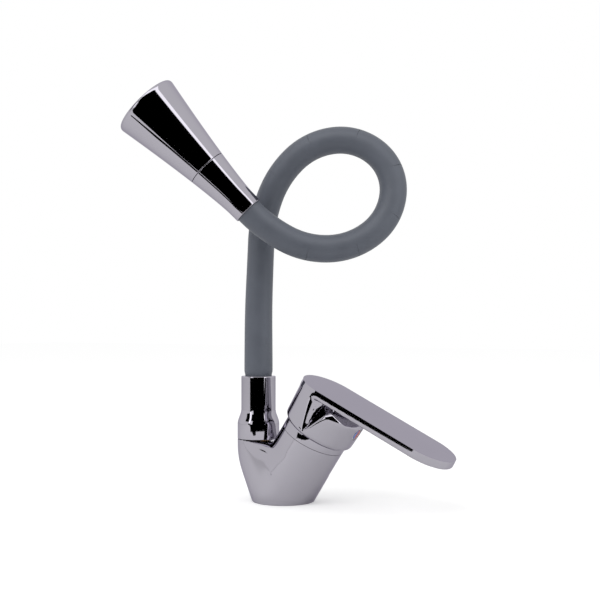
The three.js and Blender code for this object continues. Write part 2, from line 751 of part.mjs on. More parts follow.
function sealRing(height) {
  const section = (spoutBoreRadius - sealGrooveFloor) / 2 - fit;
  const centre = (spoutBoreRadius + sealGrooveFloor) / 2;
  const profile = [];
  const sides = 6;
  for (let i = 0; i <= sides; i += 1) {
    const turn = (2 * Math.PI * (i % sides)) / sides;
    profile.push([centre + section * Math.cos(turn), height + section * Math.sin(turn)]);
  }
  return turned(profile);
}

spoutBase.add(part('nipple_seal_upper', sealRing(upperSealHeight), rubber));
spoutBase.add(part('nipple_seal_lower', sealRing(lowerSealHeight), rubber));

const gapShape = new THREE.Shape()
  .absarc(0, 0, circlipOuterRadius, circlipOpening, 2 * Math.PI - circlipOpening)
  .absarc(0, 0, circlipInnerRadius, 2 * Math.PI - circlipOpening, circlipOpening, true);
spoutBase.add(part('spout_circlip',
  plate(gapShape, circlipHeight, circlipHeight + circlipThickness), steel));

// Route of the flexible spout: straight out of the collar, round one open turn, and into the head
const linkCount = linkBends.length;
const linkLength = spoutLength / linkCount;
const stepsPerLink = 24;
const planeRight = new THREE.Vector3(Math.cos(spoutPlaneTurn), Math.sin(spoutPlaneTurn), 0);
const planeOut = new THREE.Vector3(Math.sin(spoutPlaneTurn), -Math.cos(spoutPlaneTurn), 0);

function heading(turn, lean) {
  return planeRight.clone().multiplyScalar(Math.cos(turn) * Math.cos(lean))
    .add(new THREE.Vector3(0, 0, Math.sin(turn) * Math.cos(lean)))
    .add(planeOut.clone().multiplyScalar(Math.sin(lean)));
}

const route = [];
{
  const point = new THREE.Vector3(-spoutOffset, 0, collarTop);
  const step = linkLength / stepsPerLink;
  const all = linkCount * stepsPerLink;
  let turn = Math.PI / 2;
  const leanAt = (share) => spoutLean * Math.sin(Math.PI * Math.max(0, (share - 1 / linkCount)
    / (1 - 1 / linkCount)));
  route.push({ point: point.clone(), along: heading(turn, 0) });
  for (let i = 0; i < all; i += 1) {
    const bend = (linkBends[Math.floor(i / stepsPerLink)] * degree) / stepsPerLink;
    point.addScaledVector(heading(turn - bend / 2, leanAt((i + 0.5) / all)), step);
    turn -= bend;
    route.push({ point: point.clone(), along: heading(turn, leanAt((i + 1) / all)) });
  }
}

// The frame at a height above a link's foot, run on straight past the link's ends
function linkFrame(link, height) {
  const inside = Math.min(Math.max(height, 0), linkLength);
  const place = (link + inside / linkLength) * stepsPerLink;
  const low = Math.min(Math.floor(place), linkCount * stepsPerLink - 1);
  const along = route[low].along.clone().lerp(route[low + 1].along, place - low).normalize();
  const point = route[low].point.clone().lerp(route[low + 1].point, place - low)
    .addScaledVector(along, height - inside);
  const out = planeOut.clone().addScaledVector(along, -planeOut.dot(along)).normalize();
  return new THREE.Matrix4().makeBasis(out.clone().cross(along), out, along).setPosition(point);
}

// A turned profile, drawn along a straight link, bent to follow the route
function bent(profile, link, facets) {
  const points = profile.map(([radius, height]) => new THREE.Vector2(radius, height));
  const geometry = new THREE.LatheGeometry(points, facets).rotateX(Math.PI / 2);
  const place = geometry.attributes.position;
  const vertex = new THREE.Vector3();
  for (let i = 0; i < place.count; i += 1) {
    vertex.fromBufferAttribute(place, i);
    const frame = linkFrame(link, vertex.z);
    vertex.setZ(0).applyMatrix4(frame);
    place.setXYZ(i, vertex.x, vertex.y, vertex.z);
  }
  return solid(geometry);
}

// Both walls of a hose link between two heights, with a section at each quarter of the link. The bore may
// start higher than the outside, at a seat.
function hoseWalls(outer, bore, foot, top, seat = foot) {
  const quarters = [1, 2, 3, 4].map((k) => (k * linkLength) / 4);
  const outside = quarters.filter((height) => height > foot + overrun && height < top - overrun);
  const inside = outside.filter((height) => height > seat + overrun).reverse();
  return {
    outside: outside.map((height) => [outer, height]),
    inside: inside.map((height) => [bore, height]),
  };
}

// Each sleeve link ends in a ball that turns in the next link's flared foot, so every joint can flex
const footRadius = sleeveRadius + fit + footRelief;
const flareHeight = (radius) => (footRadius - radius * Math.cos(footFlare)) / Math.sin(footFlare);

function sleeveLink(link) {
  const isFirst = link === 0;
  const isLast = link === linkCount - 1;
  const foot = isFirst ? -sleeveSeat : flareHeight(sleeveRadius);
  const seat = isFirst ? -sleeveSeat : flareHeight(sleeveBore);
  const top = isLast ? linkLength + sleeveEntry : linkLength + overrun * 2;
  const walls = hoseWalls(sleeveRadius, sleeveBore, foot, top, seat);
  const end = [];
  if (isLast) {
    end.push([sleeveRadius, top], [sleeveBore, top]);
  } else {
    const steps = 3;
    const widest = Math.acos(sleeveBore / sleeveRadius);
    for (let i = 1; i <= steps; i += 1) {
      const rise = (widest * i) / steps;
      end.push([sleeveRadius * Math.cos(rise), linkLength + sleeveRadius * Math.sin(rise)]);
    }
  }
  const profile = [[sleeveBore, seat], [sleeveRadius, foot], ...walls.outside, ...end, ...walls.inside,
    [sleeveBore, seat]];
  return bent(profile, link, spoutFacets);
}

// The stay-put core carries the water and holds the spout's shape. Each link stops short of the next ball.
function coreLink(link) {
  const foot = link === 0 ? shankTop + fit - collarTop : sleeveRadius + 2 * fit;
  const top = link === linkCount - 1 ? linkLength + sleeveEntry + ferruleLength : linkLength + coreRadius;
  const walls = hoseWalls(coreRadius, coreBore, foot, top);
  const profile = [[coreBore, foot], [coreRadius, foot], ...walls.outside, [coreRadius, top], [coreBore, top],
    ...walls.inside, [coreBore, foot]];
  return bent(profile, link, spoutFacets / 2);
}

for (let link = 0; link < linkCount; link += 1) {
  const number = String(link + 1).padStart(2, '0');
  faucet.add(part(`sleeve_link_${number}`, sleeveLink(link), silicone));
  faucet.add(part(`core_link_${number}`, coreLink(link), steel));
}
spoutBase.add(part('ferrule_lower', tube(coreRadius + fit, sleeveRadius, shankTop + fit,
  collarTop - sleeveSeat - fit), steel));

// Spray head, in its own frame: Z runs from the end where the hose goes in to the mouth
const head = new THREE.Group();
head.applyMatrix4(linkFrame(linkCount - 1, linkLength));
faucet.add(head);

const ferruleTop = sleeveEntry + fit + ferruleLength;
const headFlangeTop = ferruleTop + fit + headNippleFlangeThickness;
const headShankTop = headFlangeTop + headNippleShankLength;
const washerFoot = headShankTop + fit;
const waterwayFoot = washerFoot + headWasherThickness + fit;
const nozzleFace = headLength - nozzleSetback;
const nozzleFoot = nozzleFace - nozzleThickness;
const cupTop = nozzleFoot - fit;
const cupFloor = cupTop - aeratorDepth;
const cupFoot = cupFloor - aeratorWall;
const selectorFoot = cupFoot - fit - selectorThickness;
const waterwayTop = selectorFoot - fit;
const mouthBore = headMouthRadius - 2 * headWall;

function headRadius(height) {
  const share = (height - headNeckLength) / (headLength - headNeckLength);
  return headNeckRadius + (headMouthRadius - headNeckRadius) * share ** headFlareShare;
}

function headFlare(from, to, steps) {
  const points = [];
  for (let i = 0; i <= steps; i += 1) {
    const height = from + ((to - from) * i) / steps;
    points.push([headRadius(height), height]);
  }
  return points;
}

const headNeck = turned([
  [sleeveRadius + fit, 0], [headEntryRadius - headEntryEdge, 0], [headEntryRadius, headEntryEdge],
  ...headFlare(headNeckLength, headSeam, 5),
  [spigotRadius, headSeam], [spigotRadius, headSeam + spigotLength], [neckBore, headSeam + spigotLength],
  [neckBore, ferruleTop + overrun], [sleeveRadius + fit, ferruleTop], [sleeveRadius + fit, 0],
], largeFacets);
head.add(part('head_neck', headNeck, chrome));
head.add(part('ferrule_upper', tube(coreRadius + fit, sleeveRadius, sleeveEntry + fit, ferruleTop), steel));

const headNipple = turned([
  [nippleBore, ferruleTop - nippleBarbLength], [nippleBarbRadius, ferruleTop - nippleBarbLength],
  [nippleBarbRadius, ferruleTop + fit], [neckBore - fit, ferruleTop + overrun + fit],
  [neckBore - fit, headFlangeTop], [headNippleShankRadius, headFlangeTop],
  [headNippleShankRadius, headShankTop], [nippleBore, headShankTop],
  [nippleBore, ferruleTop - nippleBarbLength],
]);
head.add(part('head_nipple', headNipple, brass));
head.add(part('head_washer',
  tube(nippleBore + fit, headNippleShankRadius, washerFoot, washerFoot + headWasherThickness), rubber));

const waterway = turned([
  [coreBore, waterwayFoot], [waterwayFlangeRadius, waterwayFoot],
  [waterwayFlangeRadius, waterwayFoot + waterwayFlangeThickness],
  [waterwayRadius, waterwayFoot + waterwayFlangeThickness],
  [waterwayRadius, waterwayTop - waterwayFlangeThickness],
  [waterwayNoseRadius, waterwayTop - waterwayFlangeThickness],
  [waterwayNoseRadius, waterwayTop], [coreBore, waterwayTop], [coreBore, waterwayFoot],
]);
head.add(part('waterway', waterway, whitePlastic));

// The front shell turns on the neck's spigot, and the selector disc and aerator turn with it
const shellFoot = headSeam + fit;
const spigotEnd = headSeam + spigotLength + fit;
const rimStart = headLength - headMouthEdge;

// The rounded edge at the mouth
function headRim(steps) {
  const points = [];
  for (let i = 1; i <= steps; i += 1) {
    const turn = (Math.PI * i) / (2 * steps);
    points.push([
      headRadius(rimStart) - headMouthEdge * (1 - Math.cos(turn)), rimStart + headMouthEdge * Math.sin(turn),
    ]);
  }
  return points;
}

const headShell = turned([
  [spigotRadius + fit, shellFoot], ...headFlare(shellFoot, rimStart, 6), ...headRim(3), [mouthBore, rimStart],
  [mouthBore, cupFloor - aeratorWall - fit], [headRadius(spigotEnd) - headWall, spigotEnd + overrun],
  [spigotRadius + fit, spigotEnd], [spigotRadius + fit, shellFoot],
], largeFacets);
head.add(part('head_shell', headShell, chrome));

function holeRing(count, circle, radius) {
  const holes = [];
  const sides = 6;
  for (let i = 0; i < count; i += 1) {
    const turn = (2 * Math.PI * i) / count;
    const points = [];
    for (let k = 0; k < sides; k += 1) {
      const around = (-2 * Math.PI * k) / sides;
      points.push(new THREE.Vector2(circle * Math.cos(turn) + radius * Math.cos(around),
        circle * Math.sin(turn) + radius * Math.sin(around)));
    }
    holes.push(new THREE.Path().setFromPoints(points));
  }
  return holes;
}

const selectorShape = new THREE.Shape().absarc(0, 0, waterwayNoseRadius, 0, 2 * Math.PI);
selectorShape.holes.push(...holeRing(selectorHoleCount, waterwayNoseRadius / 2, selectorHoleRadius));
head.add(part('selector_disc',
  plate(selectorShape, selectorFoot, selectorFoot + selectorThickness), greyPlastic));

const cupNeckRadius = waterwayNoseRadius + fit + aeratorWall;
const cupRadius = mouthBore - fit;
const cup = turned([
  [waterwayNoseRadius + fit, waterwayTop - waterwayFlangeThickness],
  [cupNeckRadius, waterwayTop - waterwayFlangeThickness], [cupNeckRadius, cupFoot],
  [cupRadius, cupFoot], [cupRadius, cupTop], [cupRadius - aeratorWall, cupTop],
  [cupRadius - aeratorWall, cupFloor], [coreBore, cupFloor], [coreBore, cupFoot],
  [waterwayNoseRadius + fit, cupFoot], [waterwayNoseRadius + fit, waterwayTop - waterwayFlangeThickness],
]);
head.add(part('aerator_housing', cup, whitePlastic));

const insertRadius = cupRadius - aeratorWall - fit;
const insertFoot = cupFloor + fit;
const insertTop = cupTop - fit;
const insert = turned([
  [coreBore, insertFoot], [insertRadius, insertFoot], [insertRadius, insertTop],
  [insertRadius - aeratorWall, insertTop], [insertRadius - aeratorWall, insertFoot + aeratorWall],
  [coreBore + aeratorWall, insertFoot + aeratorWall], [coreBore + aeratorWall, insertTop],
  [coreBore, insertTop], [coreBore, insertFoot],
]);
head.add(part('aerator_insert', insert, whitePlastic));

const nozzleShape = new THREE.Shape().absarc(0, 0, cupRadius, 0, 2 * Math.PI);
nozzleShape.holes.push(...holeRing(nozzleHoleCount, cupRadius * nozzleHoleCircleShare, nozzleHoleRadius));
nozzleShape.holes.push(
  ...holeRing(nozzleHoleCount / 2, (cupRadius * nozzleHoleCircleShare) / 2, nozzleHoleRadius));
head.add(part('nozzle_plate', plate(nozzleShape, nozzleFoot, nozzleFace), greyPlastic));

export default faucet;
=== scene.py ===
# Flexible kitchen faucet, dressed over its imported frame. Metres, +Z up, the middle of the base at the origin.
import math

import bmesh
import bpy
import numpy as np
from mathutils import Matrix, Vector


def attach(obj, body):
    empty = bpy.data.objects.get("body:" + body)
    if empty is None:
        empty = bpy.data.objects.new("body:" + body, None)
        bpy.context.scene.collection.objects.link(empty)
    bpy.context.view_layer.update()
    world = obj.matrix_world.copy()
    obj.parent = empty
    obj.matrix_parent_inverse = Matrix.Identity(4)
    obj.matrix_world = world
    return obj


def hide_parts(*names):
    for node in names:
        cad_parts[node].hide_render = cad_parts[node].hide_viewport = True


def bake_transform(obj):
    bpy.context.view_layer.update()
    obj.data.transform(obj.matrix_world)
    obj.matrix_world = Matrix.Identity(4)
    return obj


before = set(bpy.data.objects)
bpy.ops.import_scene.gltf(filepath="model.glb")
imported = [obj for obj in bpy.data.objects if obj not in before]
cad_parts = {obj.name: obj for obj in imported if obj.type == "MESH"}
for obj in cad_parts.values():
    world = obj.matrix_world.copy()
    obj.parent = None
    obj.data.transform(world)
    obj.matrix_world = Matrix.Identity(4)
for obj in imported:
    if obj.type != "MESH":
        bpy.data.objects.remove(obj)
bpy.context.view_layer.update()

scene = bpy.context.scene
scene.view_settings.view_transform = "Standard"

# Camera. It stands about half as high as the faucet, in front of it and to its right, and looks a little up.
# Its tilt is measured from straight down. A longish lens keeps the V of the body and the cone undistorted.
CAMERA_PLACE = Vector((0.3977, -0.6641, 0.1346))
CAMERA_AZIMUTH = math.radians(30)
CAMERA_TILT = math.radians(91.1)
LENS_MM, SENSOR_MM = 62.1, 36

camera = bpy.data.objects.new("camera", bpy.data.cameras.new("camera"))
scene.collection.objects.link(camera)
camera.data.lens = LENS_MM
camera.data.sensor_width = SENSOR_MM
camera.location = CAMERA_PLACE
camera.rotation_euler = (CAMERA_TILT, 0, CAMERA_AZIMUTH)
scene.camera = camera

TOWARDS_CAMERA = Vector((math.sin(CAMERA_AZIMUTH), -math.cos(CAMERA_AZIMUTH), 0))
IMAGE_RIGHT = Vector((math.cos(CAMERA_AZIMUTH), math.sin(CAMERA_AZIMUTH), 0))


# Studio. A white floor under a white surround, which the metal mirrors as the camera sees it, and a plain
# even light on everything that isn't a mirror.
SURROUND_LIGHT = 0.8
FLOOR_LIFT = 0.3
FLOOR_LIFT_IN_GLOSS = 0.12
FLOOR_HALF = 4
FLOOR_COLOUR = (0.86, 0.86, 0.86, 1)
WHITE = (1, 1, 1, 1)


def maths(tree, operation, *values):
    """What a Math node gives for some values, each a number or another node's output."""
    node = tree.nodes.new("ShaderNodeMath")
    node.operation = operation
    for socket, value in zip(node.inputs, values):
        if isinstance(value, bpy.types.NodeSocket):
            tree.links.new(value, socket)
        else:
            socket.default_value = value
    return node.outputs[0]


world = bpy.data.worlds.new("studio")
scene.world = world
world.use_nodes = True
nodes, links = world.node_tree.nodes, world.node_tree.links
nodes.clear()
paths = nodes.new("ShaderNodeLightPath")
seen = maths(world.node_tree, "MAXIMUM", paths.outputs["Is Camera Ray"], paths.outputs["Is Glossy Ray"])
seen = maths(world.node_tree, "MAXIMUM", seen, paths.outputs["Is Transmission Ray"])
choice = nodes.new("ShaderNodeMixShader")
links.new(seen, choice.inputs[0])
for socket, strength in ((1, SURROUND_LIGHT), (2, 1)):
    surround = nodes.new("ShaderNodeBackground")
    surround.inputs["Color"].default_value = WHITE
    surround.inputs["Strength"].default_value = strength
    links.new(surround.outputs[0], choice.inputs[socket])
links.new(choice.outputs[0], nodes.new("ShaderNodeOutputWorld").inputs["Surface"])

floor_mesh = bpy.data.meshes.new("floor")
floor_corners = [(x * FLOOR_HALF, y * FLOOR_HALF, 0) for x, y in ((-1, -1), (1, -1), (1, 1), (-1, 1))]
floor_mesh.from_pydata(floor_corners, [], [(0, 1, 2, 3)])
floor = bpy.data.objects.new("floor", floor_mesh)
scene.collection.objects.link(floor)
floor_paint = bpy.data.materials.new("floor_paint")
floor_paint.use_nodes = True
nodes, links = floor_paint.node_tree.nodes, floor_paint.node_tree.links
nodes.clear()
paths = nodes.new("ShaderNodeLightPath")
to_camera = maths(floor_paint.node_tree, "MULTIPLY", paths.outputs["Is Camera Ray"], FLOOR_LIFT)
lift = maths(floor_paint.node_tree, "MULTIPLY_ADD", paths.outputs["Is Glossy Ray"], FLOOR_LIFT_IN_GLOSS,
             to_camera)
glow = nodes.new("ShaderNodeEmission")
links.new(lift, glow.inputs["Strength"])
paint = nodes.new("ShaderNodeBsdfDiffuse")
paint.inputs["Color"].default_value = FLOOR_COLOUR
both = nodes.new("ShaderNodeAddShader")
links.new(glow.outputs[0], both.inputs[0])
links.new(paint.outputs[0], both.inputs[1])
links.new(both.outputs[0], nodes.new("ShaderNodeOutputMaterial").inputs["Surface"])
floor_mesh.materials.append(floor_paint)


# Cards. Sheets of card around the camera that only mirrors see, as a photographer sets them up: black ones
# give the chrome its dark bands, and bright ones its highlights. Turns are from the camera, in degrees.
CARD_DISTANCE = 0.9
ROUND = (CARD_DISTANCE, CARD_DISTANCE)
DARK_SIDE = (-44.7, 39.8)
ON_THE_FLOOR = (0.0006, 0.0006)
LEVER_CARD_DEPTH = -0.283
LEVER_CARD_OUTLINE = ((-0.155, 0.055), (0.008, 0), (0.07, 0), (0.07, 0.03), (0.008, 0.04), (-0.155, 0.115))


def card_direction(turn, rise):
    """The way to a place round the faucet, by its turn from the camera and its rise."""
    level = TOWARDS_CAMERA * math.cos(turn) + IMAGE_RIGHT * math.sin(turn)
    return level * math.cos(rise) + Vector((0, 0, math.sin(rise)))


def flat_card(name, corners, strength, faces=None):
    """A card through these corners, seen by mirrors alone. A strength of 0 makes it black."""
    mesh = bpy.data.meshes.new(name)
    mesh.from_pydata(corners, [], faces or [tuple(range(len(corners)))])
    paint = bpy.data.materials.new(name)
    paint.use_nodes = True
    paint.node_tree.nodes.clear()
    light = paint.node_tree.nodes.new("ShaderNodeEmission")
    light.inputs["Strength"].default_value = strength
    output = paint.node_tree.nodes.new("ShaderNodeOutputMaterial")
    paint.node_tree.links.new(light.outputs[0], output.inputs["Surface"])
    mesh.materials.append(paint)
    sheet = bpy.data.objects.new(name, mesh)
    scene.collection.objects.link(sheet)
    sheet.visible_camera = sheet.visible_diffuse = False
    sheet.visible_transmission = sheet.visible_shadow = False


def card(name, strength, turns, distances, heights, steps=12):
    """A card bent round the faucet between two turns from the camera, in degrees. Its lower edge has the
    first distance and height, and its upper edge the second."""
    lower, upper = [], []
    for i in range(steps + 1):
        direction = card_direction(math.radians(turns[0] + (turns[1] - turns[0]) * i / steps), 0)
        lower.append((direction.x * distances[0], direction.y * distances[0], heights[0]))
        upper.append((direction.x * distances[1], direction.y * distances[1], heights[1]))
    faces = [(i, i + 1, steps + 2 + i, steps + 1 + i) for i in range(steps)]
    flat_card(name, lower + upper, strength, faces)


card("black_card", 0, turns=DARK_SIDE, distances=ROUND, heights=(0, 1.0))
card("black_floor_card", 0, turns=DARK_SIDE, distances=(0.4, CARD_DISTANCE), heights=ON_THE_FLOOR)
card("bright_left_card", 1.4, turns=(-44.7, -34), distances=(0.88, 0.88), heights=(0.105, 0.5))
card("bright_top_card", 2.2, turns=(-75, 55), distances=(0.5, 1.3), heights=(1.25, 1.15))
card("black_high_card", 0, turns=(-80, -57), distances=ROUND, heights=(0.36, 1.7))
card("bright_strip_left", 2.6, turns=(-56, -46.5), distances=ROUND, heights=(0.27, 1.2))
card("bright_strip_right", 2.2, turns=(41, 58), distances=ROUND, heights=(0, 0.9))
flat_card("black_lever_card", [(x, LEVER_CARD_DEPTH, z) for x, z in LEVER_CARD_OUTLINE], 0)


# Lamps. One large soft box high on the left and a weaker one on the right, so that the hose and the plastic
# are rounded by light while the shadows stay faint.
LAMPS_AIM = Vector((0, 0, 0.12))


def soft_box(name, power, turn, rise, distance, size):
    """A square lamp at a turn from the camera and a rise, in degrees, which mirrors don't show."""
    lamp = bpy.data.objects.new(name, bpy.data.lights.new(name, "AREA"))
    scene.collection.objects.link(lamp)
    lamp.data.shape = "SQUARE"
    lamp.data.size = size
    lamp.data.energy = power
    lamp.location = card_direction(math.radians(turn), math.radians(rise)) * distance
    lamp.rotation_euler = (LAMPS_AIM - lamp.location).to_track_quat("-Z", "Y").to_euler()
    lamp.visible_glossy = False


soft_box("key_light", 6, turn=-38, rise=48, distance=1.5, size=0.9)
soft_box("fill_light", 3, turn=62, rise=30, distance=1.6, size=0.8)


# Finishes. Chrome is a thin bright plating over polished brass: a faint blotchy haze from handling and fine
# polishing grain. Its lilac grey is painted reflection on top of the plating's own reflectance: the tint and
# dimness of the lilac surroundings that it mirrors, put into its colour and edge tint under a white surround.
HAZE_CLEAR, HAZE_FULL = 0.32, 0.68
COLOUR_A, COLOUR_B, COLOUR_RESULT = 6, 7, 2


def wear_group():
    """Two masks that change over a surface: broad haze, as from wiping, and fine grain."""
    group = bpy.data.node_groups.new("surface_wear", "ShaderNodeTree")
    for name, value in (("Haze Scale", 30), ("Grain Scale", 900), ("Streak", 1)):
        socket = group.interface.new_socket(name, in_out="INPUT", socket_type="NodeSocketFloat")
        socket.default_value = value
    for name in ("Haze", "Grain"):
        group.interface.new_socket(name, in_out="OUTPUT", socket_type="NodeSocketFloat")
    nodes, links = group.nodes, group.links
    given, result = nodes.new("NodeGroupInput"), nodes.new("NodeGroupOutput")
    place = nodes.new("ShaderNodeTexCoord")
    stretch = nodes.new("ShaderNodeCombineXYZ")
    stretch.inputs["X"].default_value = 1
    stretch.inputs["Y"].default_value = 1
    links.new(given.outputs["Streak"], stretch.inputs["Z"])
    drawn = nodes.new("ShaderNodeVectorMath")
    drawn.operation = "MULTIPLY"
    links.new(place.outputs["Object"], drawn.inputs[0])
    links.new(stretch.outputs[0], drawn.inputs[1])
    haze, grain = nodes.new("ShaderNodeTexNoise"), nodes.new("ShaderNodeTexNoise")
    haze.inputs["Roughness"].default_value = 0.55
    for noise, scale, detail in ((haze, "Haze Scale", 3), (grain, "Grain Scale", 2)):
        noise.inputs["Detail"].default_value = detail
        links.new(drawn.outputs[0], noise.inputs["Vector"])
        links.new(given.outputs[scale], noise.inputs["Scale"])
    clearer = nodes.new("ShaderNodeMapRange")
    clearer.inputs["From Min"].default_value = HAZE_CLEAR
    clearer.inputs["From Max"].default_value = HAZE_FULL
    links.new(haze.outputs["Fac"], clearer.inputs["Value"])
    links.new(clearer.outputs["Result"], result.inputs["Haze"])
    links.new(grain.outputs["Fac"], result.inputs["Grain"])
    return group


SURFACE_WEAR = wear_group()


def finish(name, colour, roughness, metallic=0.0, tint=0.06, rough_swing=0.08, haze=30, grain=900, streak=1,
           bump=0.1, depth=0.00005, specular=0.5):
    """A material whose colour, gloss and relief vary over the piece. Its colours are linear."""
    material = bpy.data.materials.new(name)
    material.use_nodes = True
    nodes, links = material.node_tree.nodes, material.node_tree.links
    shader = nodes["Principled BSDF"]
    shader.inputs["Metallic"].default_value = metallic
    shader.inputs["Specular IOR Level"].default_value = specular
    wear = nodes.new("ShaderNodeGroup")
    wear.node_tree = SURFACE_WEAR
    for socket, value in (("Haze Scale", haze), ("Grain Scale", grain), ("Streak", streak)):
        wear.inputs[socket].default_value = value
    shade = nodes.new("ShaderNodeMix")
    shade.data_type = "RGBA"
    shade.inputs[COLOUR_A].default_value = (*[c * (1 - tint) for c in colour], 1)
    shade.inputs[COLOUR_B].default_value = (*[min(1, c * (1 + tint)) for c in colour], 1)
    links.new(wear.outputs["Haze"], shade.inputs[0])
    links.new(shade.outputs[COLOUR_RESULT], shader.inputs["Base Color"])
    gloss = nodes.new("ShaderNodeMapRange")
    gloss.inputs["To Min"].default_value = max(0.01, roughness - rough_swing)
    gloss.inputs["To Max"].default_value = roughness + rough_swing
    links.new(wear.outputs["Haze"], gloss.inputs["Value"])
    links.new(gloss.outputs["Result"], shader.inputs["Roughness"])
    relief = nodes.new("ShaderNodeBump")
    relief.inputs["Strength"].default_value = bump
    relief.inputs["Distance"].default_value = depth
    links.new(wear.outputs["Grain"], relief.inputs["Height"])
    links.new(relief.outputs["Normal"], shader.inputs["Normal"])
    return material


# Painted reflection: this lilac grey base colour and the lilac edge tint below stand for the lilac surroundings
# mirrored in the plating.
chrome = finish("chrome_plate", (0.40, 0.385, 0.43), 0.05, metallic=1, tint=0.02, rough_swing=0.015,
                haze=22, grain=1500, bump=0.02, depth=0.000002)
chrome.node_tree.nodes["Principled BSDF"].inputs["Specular Tint"].default_value = (0.62, 0.6, 0.66, 1)


def dress(material, slot, *names):
    """The CAD nodes that are kept get their finish."""
    for name in names:
        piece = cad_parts[name]
        piece.data.materials.clear()
        piece.data.materials.append(material)


# Body casting. One brass casting, ground, polished and chromed, with a V of two branches: the upright one
# takes the spout and the wide leaning one the cartridge. It, the shroud ring and the handle are sized in
# millimetres. A form gives the depth at each of many places, below 0 inside it, and the way out.
MM = 0.001
BARREL_LEAN = math.radians(33.4)
BARREL_SET_BACK = 6
SLIVER = 1e-5
PLANE_STEPS, PLANE_SPAN = 300, 40
BATCH = 16000
CELL = 1.0
FAINTEST_SLOPE = 0.2
CUT_TOLERANCE = 1e-4
CRISP_ANGLE = math.radians(34)
in_mm = Matrix.Scale(MM, 4)
barrel_place = Matrix.Translation((-BARREL_SET_BACK, 0, 0)) @ Matrix.Rotation(BARREL_LEAN, 4, "Y")


def ring_points(radius, height, turns=72, place=Matrix.Identity(4), centre=0):
    """Points round a circle, in millimetres."""
    points = []
    for k in range(turns):
        angle = 2 * math.pi * k / turns
        flat = (centre + radius * math.cos(angle), radius * math.sin(angle))
        points.append(tuple(place @ Vector((*flat, height))))
    return points


def faces_round(points):
    """The planes of the tightest convex form round some points, as normals and distances. Planes that lie
    within one step of each other count once."""
    shape = bmesh.new()
    for point in points:
        shape.verts.new(point)
    bmesh.ops.convex_hull(shape, input=shape.verts, use_existing_faces=False)
    planes = {}
    for face in shape.faces:
        if face.calc_area() > SLIVER:
            depth = face.normal.dot(face.verts[0].co)
            steps = tuple(round(c * PLANE_STEPS) for c in (*face.normal, depth / PLANE_SPAN))
            planes[steps] = (*face.normal, depth)
    shape.free()
    planes = np.array(list(planes.values()))
    return planes[:, :3], planes[:, 3]


def eased(values, normals, ease):
    """The highest of many planes at each place, eased into its neighbours, with its direction."""
    highest = values.max(axis=1)
    weights = np.exp((values - highest[:, None]) / ease)
    total = weights.sum(axis=1)
    return np.column_stack([highest + ease * np.log(total), (weights @ normals) / total[:, None]])


def inside_of(planes, places, ease):
    """A convex form with its edges eased."""
    normals, depths = planes
    return np.concatenate([eased(places[i:i + BATCH] @ normals.T - depths, normals, ease)
                           for i in range(0, len(places), BATCH)])


def joined(a, b, blend):
    """Two forms as one, with a soft hollow of this size where they meet."""
    share = np.clip(0.5 + 0.5 * (b[:, 0] - a[:, 0]) / blend, 0, 1)
    both = b + (a - b) * share[:, None]
    both[:, 0] -= blend * share * (1 - share)
    return both


def cut(a, b, blend):
    """One form less another, with the edge between them rounded."""
    return -joined(-a, b, blend)


def skinned(form, low, high, cell=CELL, smooth=3, settle=4):
    """The skin of a form, by one corner in each cell that it crosses, smoothed and drawn onto the form."""
    sizes = [int(math.ceil((high[i] - low[i]) / cell)) + 1 for i in range(3)]
    axes = [low[i] + cell * np.arange(sizes[i]) for i in range(3)]
    grid = np.stack(np.meshgrid(*axes, indexing="ij"), axis=-1).reshape(-1, 3)
    inside = form(grid)[:, 0].reshape(sizes) < 0
    corners = sum(inside[i:sizes[0] - 1 + i, j:sizes[1] - 1 + j, k:sizes[2] - 1 + k].astype(int)
                  for i in (0, 1) for j in (0, 1) for k in (0, 1))
    used = (corners > 0) & (corners < 8)
    index = -np.ones(used.shape, dtype=int)
    index[used] = np.arange(used.sum())
    places = np.array(low) + cell * (np.argwhere(used) + 0.5)
    faces = []
    for axis in range(3):
        u, v = [(1, 2), (2, 0), (0, 1)][axis]
        here, there = [slice(None)] * 3, [slice(None)] * 3
        here[axis], there[axis] = slice(0, -1), slice(1, None)
        near, far = inside[tuple(here)], inside[tuple(there)]
        for crossing, turned_over in ((near & ~far, False), (~near & far, True)):
            spots = np.argwhere(crossing)
            spots = spots[(spots[:, u] > 0) & (spots[:, v] > 0)
                          & (spots[:, u] < sizes[u] - 1) & (spots[:, v] < sizes[v] - 1)]
            quads = []
            for du, dv in ((1, 1), (0, 1), (0, 0), (1, 0)):
                corner = spots.copy()
                corner[:, u] -= du
                corner[:, v] -= dv
                quads.append(index[corner[:, 0], corner[:, 1], corner[:, 2]])
            quads = np.stack(quads, axis=1)
            faces.append(quads[:, ::-1] if turned_over else quads)
    faces = np.concatenate(faces)
    ends = np.concatenate([faces, np.roll(faces, 1, axis=1)]).reshape(2, -1)
    for turn in range(smooth + settle):
        if turn < smooth:
            total = np.zeros_like(places)
            np.add.at(total, ends[0], places[ends[1]])
            np.add.at(total, ends[1], places[ends[0]])
            places = total / np.bincount(ends.ravel())[:, None]
        depth = form(places)
        slope = np.maximum((depth[:, 1:] ** 2).sum(axis=1), FAINTEST_SLOPE)
        places = places - depth[:, 1:] * (np.clip(depth[:, 0], -cell, cell) / slope)[:, None]
    return places, faces


def cut_along(shape, point, normal):
    """Cuts away what lies past a plane, and gives the open edges."""
    geometry = shape.verts[:] + shape.edges[:] + shape.faces[:]
    result = bmesh.ops.bisect_plane(shape, geom=geometry, plane_co=point, plane_no=normal, clear_outer=True,
                                    dist=CUT_TOLERANCE)
    return [item for item in result["geom_cut"] if isinstance(item, bmesh.types.BMEdge)]


def as_piece(name, shape, place):
    """The object that a finished form becomes at its place."""
    bmesh.ops.recalc_face_normals(shape, faces=shape.faces)
    shape.transform(place)
    mesh = bpy.data.meshes.new(name)
    shape.to_mesh(mesh)
    shape.free()
    piece = bpy.data.objects.new(name, mesh)
    scene.collection.objects.link(piece)
    return piece


